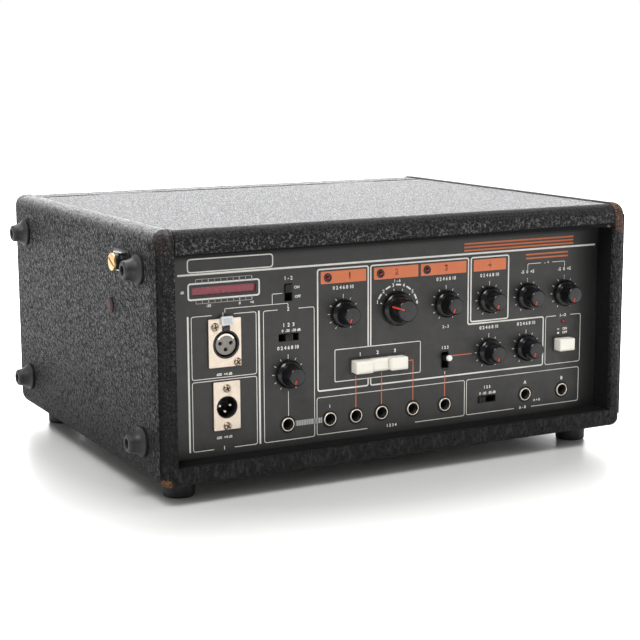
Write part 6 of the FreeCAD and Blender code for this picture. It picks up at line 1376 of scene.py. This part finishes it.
COIL_LOW, COIL_HIGH = corners("solenoid")
PLUNGER_OUT, PLUNGER, END_PLATE, COIL_CLEAR = 7.0, 3.0, 1.6, 1.8
coil_left = COIL_LOW.x + PLUNGER_OUT
wound_from, wound_to = coil_left + END_PLATE, COIL_HIGH.x - END_PLATE
radius = (COIL_HIGH.z - COIL_LOW.z) / 2 - COIL_CLEAR
along_x = at(0, (COIL_LOW.y + COIL_HIGH.y) / 2, (COIL_LOW.z + COIL_HIGH.z) / 2) @ RIGHTWARD
coil = Form()
for x in (coil_left, wound_to):
    coil.block((x, COIL_LOW.y, COIL_LOW.z), (x + END_PLATE, COIL_HIGH.y, COIL_HIGH.z), ZINC, 0.3)
coil.block((coil_left, COIL_LOW.y, COIL_LOW.z), (COIL_HIGH.x, COIL_HIGH.y, COIL_LOW.z + END_PLATE), ZINC, 0.3)
coil.lathe([
    (0, wound_from), (radius, wound_from), (radius, wound_from + 1.0), (radius - 0.8, wound_from + 1.2),
    (radius - 0.8, wound_to - 1.2), (radius, wound_to - 1.0), (radius, wound_to), (0, wound_to),
], WINDING, along_x, soft=0.2)
tip, root = COIL_LOW.x, coil_left + 0.5
coil.lathe([
    (0, tip), (PLUNGER, tip), (PLUNGER, tip + 3.0), (PLUNGER - 0.8, tip + 3.2), (PLUNGER - 0.8, tip + 4.4),
    (PLUNGER, tip + 4.6), (PLUNGER, root), (0, root),
], NICKEL, along_x, soft=0.3)
coil.piece("solenoid_coil", "case", "zinc", "solenoid", sharp=45)

SCREW_INSET = 6.0
deck_low, deck_high = corners("deck_plate")
deck_screws = Form()
for x in (deck_low.x + SCREW_INSET, deck_high.x - SCREW_INSET):
    for share in (0.05, 0.35, 0.65, 0.95):
        y = deck_low.y + share * (deck_high.y - deck_low.y)
        cross_screw(deck_screws, at(x, y, DECK), *CASE_SCREW, 40.0 + x + y)
deck_screws.piece("deck_screws", "case", "nickel", sharp=50)


# ---------------------------------------------------------------- rear fittings

REAR_LOW, REAR_HIGH = corners("rear_panel")
REAR_INSET = 10.0
rear_screws = Form()
for share in (0.0, 0.25, 0.5, 0.75, 1.0):
    for z in (REAR_LOW.z + REAR_INSET, REAR_HIGH.z - REAR_INSET):
        x = REAR_LOW.x + REAR_INSET + share * (REAR_HIGH.x - REAR_LOW.x - 2 * REAR_INSET)
        cross_screw(rear_screws, at(x, REAR_HIGH.y, z) @ BACKWARD, *CASE_SCREW, 25.0 + x)
rear_screws.piece("rear_screws", "case", "nickel", sharp=50)

INLET_X, FUSE_X = 120.0, 75.0
INLET_WIDE, INLET_HIGH, INLET_FLANGE, INLET_DEEP, INLET_SCREW = 48.0, 28.0, 3.0, 20.0, 20.0
MOUTH_WIDE, MOUTH_HIGH, MOUTH_DEEP = 24.4, 16.4, 16.0
WELL_WIDE, WELL_HIGH = 30.6, 22.6
BLADE_SPREAD, BLADE_OFFSET, BLADE_WIDE, BLADE_HIGH, BLADE_LONG = 7.0, 2.0, 2.0, 4.0, 10.0
INLET_Z = sum(corner.z for corner in corners("power_fittings")) / 2
FUSE, FUSE_HIGH, FUSE_NECK, RIBS, RIB_CUT = 8.0, 9.0, 5.8, 24, 0.45
inlet = Form(at(INLET_X, REAR_HIGH.y, INLET_Z) @ BACKWARD)
mouth = pane_line(0, 0, MOUTH_WIDE, MOUTH_HIGH, 2.5)
well = pane_line(0, 0, WELL_WIDE, WELL_HIGH, 1.0)
mouth_end = INLET_FLANGE - MOUTH_DEEP
inlet.slab(pane_line(0, 0, INLET_WIDE, INLET_HIGH, 3.0), 0, INLET_FLANGE, BLACK, [mouth], bevel=0.6)
inlet.slab(well, INLET_FLANGE - INLET_DEEP, 0, BLACK, [mouth])
inlet.slab(well, -INLET_DEEP, mouth_end, BLACK)
for x, y in ((-BLADE_SPREAD, BLADE_OFFSET), (0, -BLADE_OFFSET), (BLADE_SPREAD, BLADE_OFFSET)):
    low = (x - BLADE_WIDE / 2, y - BLADE_HIGH / 2, mouth_end - 0.5)
    inlet.block(low, (x + BLADE_WIDE / 2, y + BLADE_HIGH / 2, mouth_end + BLADE_LONG), NICKEL, 0.3)
for side in (-1, 1):
    cross_screw(inlet, at(side * INLET_SCREW, 0, INLET_FLANGE), *FITTING_SCREW, 30.0 * side)


def ribbed_line(radius, deep, count):
    """A knurled round that can be grown."""
    def points(grow=0.0):
        reaches = [radius + grow - deep * (step % 2) for step in range(2 * count)]
        angles = [step * math.pi / count for step in range(2 * count)]
        return [(reach * math.cos(angle), reach * math.sin(angle)) for reach, angle in zip(reaches, angles)]
    return points


fuse = at(FUSE_X - INLET_X, 0)
inlet.slab(ribbed_line(FUSE, RIB_CUT, RIBS), 1.5, FUSE_HIGH - 0.6, BLACK, bevel=0.6, place=fuse)
inlet.lathe([(0, -15), (FUSE_NECK, -15), (FUSE_NECK, 0), (FUSE, 0), (FUSE, 1.6), (0, 1.6)], BLACK, fuse)
slot = slot_line(4.2, 1.2)
inlet.slab(round_line(0, 0, 5.5), FUSE_HIGH - 0.8, FUSE_HIGH, BLACK, [slot], bevel=0.2, place=fuse)
inlet.piece("power_sockets", "case", "black_plastic", "power_fittings", sharp=40)


# ---------------------------------------------------------------- carrying strap

STRAP_LOW, STRAP_HIGH = corners("strap_handle")
STRAP_THICK, STRAP_RIBS, RIB_WIDE, RIB_RISE, RIB_INSET = 3.5, 6, 2.2, 0.5, 1.0
STRAP_BEND, STRAP_FLAT = 64.0, 80.0
inner_x, outer_x = STRAP_LOW.x + STRAP_THICK / 2, STRAP_HIGH.x - STRAP_THICK / 2
strap_line = soften([
    (inner_x, STRAP_LOW.y), (inner_x, -STRAP_FLAT), (outer_x, -STRAP_BEND), (outer_x, STRAP_BEND),
    (inner_x, STRAP_FLAT), (inner_x, STRAP_HIGH.y),
], 8.0, 8)
strap = Form()
strap.ribbon(strap_line, STRAP_THICK - 2 * RIB_RISE, STRAP, STRAP_LOW.z, STRAP_HIGH.z)
room = STRAP_HIGH.z - STRAP_LOW.z - 2 * RIB_INSET - RIB_WIDE
for number in range(STRAP_RIBS):
    z = STRAP_LOW.z + RIB_INSET + number * room / (STRAP_RIBS - 1)
    strap.ribbon(strap_line, STRAP_THICK - 0.02, STRAP, z, z + RIB_WIDE)
strap.piece("carrying_strap", "handle", "strap", "strap_handle", sharp=50)

CAP_LOW, CAP_HIGH = corners("handle_caps")
CAP_LONG, CAP_WALL = 38.0, 2.5
CAP_DEEP = CAP_HIGH.x - CAP_LOW.x
CAP_HALF = (CAP_HIGH.z - CAP_LOW.z) / 2


def wall_line(way):
    """Three walls of an end cap, open towards the strap."""
    far, near, wide, inside = CAP_LONG / 2, -CAP_LONG / 2, CAP_HALF, CAP_HALF - CAP_WALL
    line = [
        (-wide, near), (-inside, near), (-inside, far - CAP_WALL), (inside, far - CAP_WALL), (inside, near),
        (wide, near), (wide, far), (-wide, far),
    ]
    return lambda grow: [(x, way * y) for x, y in line]


caps = Form()
for side in (-1, 1):
    place = at(CAP_LOW.x, side * (CAP_HIGH.y - CAP_LONG / 2), (CAP_LOW.z + CAP_HIGH.z) / 2) @ RIGHTWARD
    cover = pane_line(0, 0, 2 * CAP_HALF, CAP_LONG, 0.2)
    caps.slab(wall_line(side), 0, CAP_DEEP - CAP_WALL + 0.2, DULL_NICKEL, place=place)
    caps.slab(cover, CAP_DEEP - CAP_WALL, CAP_DEEP, DULL_NICKEL, bevel=1.2, place=place)
caps.piece("handle_covers", "case", "nickel", "handle_caps", sharp=45)


# ---------------------------------------------------------------- feet

FOOT_INSET_X, FOOT_INSET_Y = 26.5, 33.5
SIDE_FOOT_INSET, SIDE_FOOT_ZS = 34.0, (27.7, 150.5)
SIDE_FOOT = (
    (3.5, 5.5), (3.5, 12.1), (3.9, 12.5), (5.6, 12.5), (6.7, 11.4), (7.3, 7.5), (8.4, 4.4), (9.8, 2.9),
    (10.75, 2.3), (10.75, 0), (3.5, 0), (3.5, 5.5),
)
FOOT = (
    (4.5, 6.6), (4.5, 0.4), (4.9, 0), (10.6, 0), (11.6, 1.2), (11.9, SOLE - 1.5), (11.4, SOLE), (4.5, SOLE),
    (4.5, 6.6),
)
feet = Form()
for side in (-1, 1):
    for y in (CASE_FRONT + FOOT_INSET_Y, CASE_BACK - FOOT_INSET_Y):
        feet.lathe(FOOT, RUBBER, at(side * (CASE_RIGHT - FOOT_INSET_X), y), soft=0.9, count=56)
for y in (CASE_FRONT + SIDE_FOOT_INSET, CASE_BACK - SIDE_FOOT_INSET):
    for z in SIDE_FOOT_ZS:
        feet.lathe(SIDE_FOOT, RUBBER, at(CASE_LEFT, y, SOLE + z) @ OUTWARD, soft=1.0, count=56)
feet.piece("feet", "case", "rubber", "rubber_feet", sharp=50)


# ---------------------------------------------------------------- stage, camera and light

FLOOR_REACH = 4.0
FADE_START, FADE_END, FAR_GLOW = 225.0, 570.0, 0.9
WORLD_FILL = 0.46
FRONT_SHADE, SHADE_START, SHADE_END = 0.16, -0.80, 0.20
WHITE = (1, 1, 1, 1)

floor_mesh = bpy.data.meshes.new("floor")
floor_edge = [(x * FLOOR_REACH, y * FLOOR_REACH, 0) for x, y in ((-1, -1), (1, -1), (1, 1), (-1, 1))]
floor_mesh.from_pydata(floor_edge, [], [(0, 1, 2, 3)])
floor = shown("floor", floor_mesh)

# the floor glows white to the eye far from the unit, so that it joins the background
floor_paint = Finish("floor", (0.77, 0.77, 0.755), 0.35, Emission_Color=WHITE)
glow = floor_paint.ramp(floor_paint.vector("LENGTH", floor_paint.place), FADE_START, FADE_END, 0.0, FAR_GLOW)
floor_paint.feed(floor_paint.shader, Emission_Strength=floor_paint.both(floor_paint.seen(), glow))
floor_mesh.materials.append(floor_paint.material)

# the world is white to the eye, and lights the unit less from the front than from behind
world = bpy.data.worlds.new("studio")
bpy.context.scene.world = world
world.use_nodes = True
sky = Nodes(world.node_tree)
direction = sky.node("ShaderNodeTexCoord").outputs["Generated"]
depth = sky.feed(sky.node("ShaderNodeSeparateXYZ"), Vector=direction)["Y"]
shade = sky.ramp(depth, SHADE_START, SHADE_END, FRONT_SHADE, 1.0)
bright = sky.math("MAXIMUM", sky.node("ShaderNodeLightPath").outputs["Is Camera Ray"], shade)
strength = sky.ramp(sky.seen(), 0.0, 1.0, WORLD_FILL, bright)
sky.feed(sky.tree.nodes["Background"], Color=WHITE, Strength=strength)


def lamp(name, place, target, wide, high, power):
    """A soft box that faces a target."""
    light = bpy.data.lights.new(name, "AREA")
    light.shape = "RECTANGLE"
    light.size = wide
    light.size_y = high
    light.energy = power
    item = shown(name, light)
    item.location = place
    item.rotation_euler = (Vector(target) - Vector(place)).to_track_quat("-Z", "Y").to_euler()


CENTRE, CASE_MIDDLE = (0, 0, 0.1), (0, 0, 0.18)
lamp("key", (-1.1, -1.1, 2.3), CENTRE, 1.0, 1.0, 45)
lamp("top", (0.5, 0.9, 2.0), CENTRE, 1.4, 1.4, 60)
lamp("fill", (1.9, -1.2, 1.0), CENTRE, 1.2, 1.2, 9)
lamp("back", (1.0, 2.0, 0.75), CASE_MIDDLE, 2.6, 0.9, 42)

LENS, SENSOR, CLIP_START, CLIP_END = 86.83, 36.0, 0.05, 50
YAW, PITCH, ROLL = 27.893, 9.791, 0.252
CAMERA_PLACE = (-0.5850, -1.1246, 0.3119)
lens = bpy.data.cameras.new("camera")
lens.lens = LENS
lens.sensor_fit = "HORIZONTAL"
lens.sensor_width = SENSOR
lens.clip_start = CLIP_START
lens.clip_end = CLIP_END
camera = shown("camera", lens)
camera.matrix_world = at(*CAMERA_PLACE) @ turned(-YAW, "Z") @ turned(90 - PITCH, "X") @ turned(-ROLL, "Z")
bpy.context.scene.camera = camera
bpy.context.scene.view_settings.view_transform = "Standard"
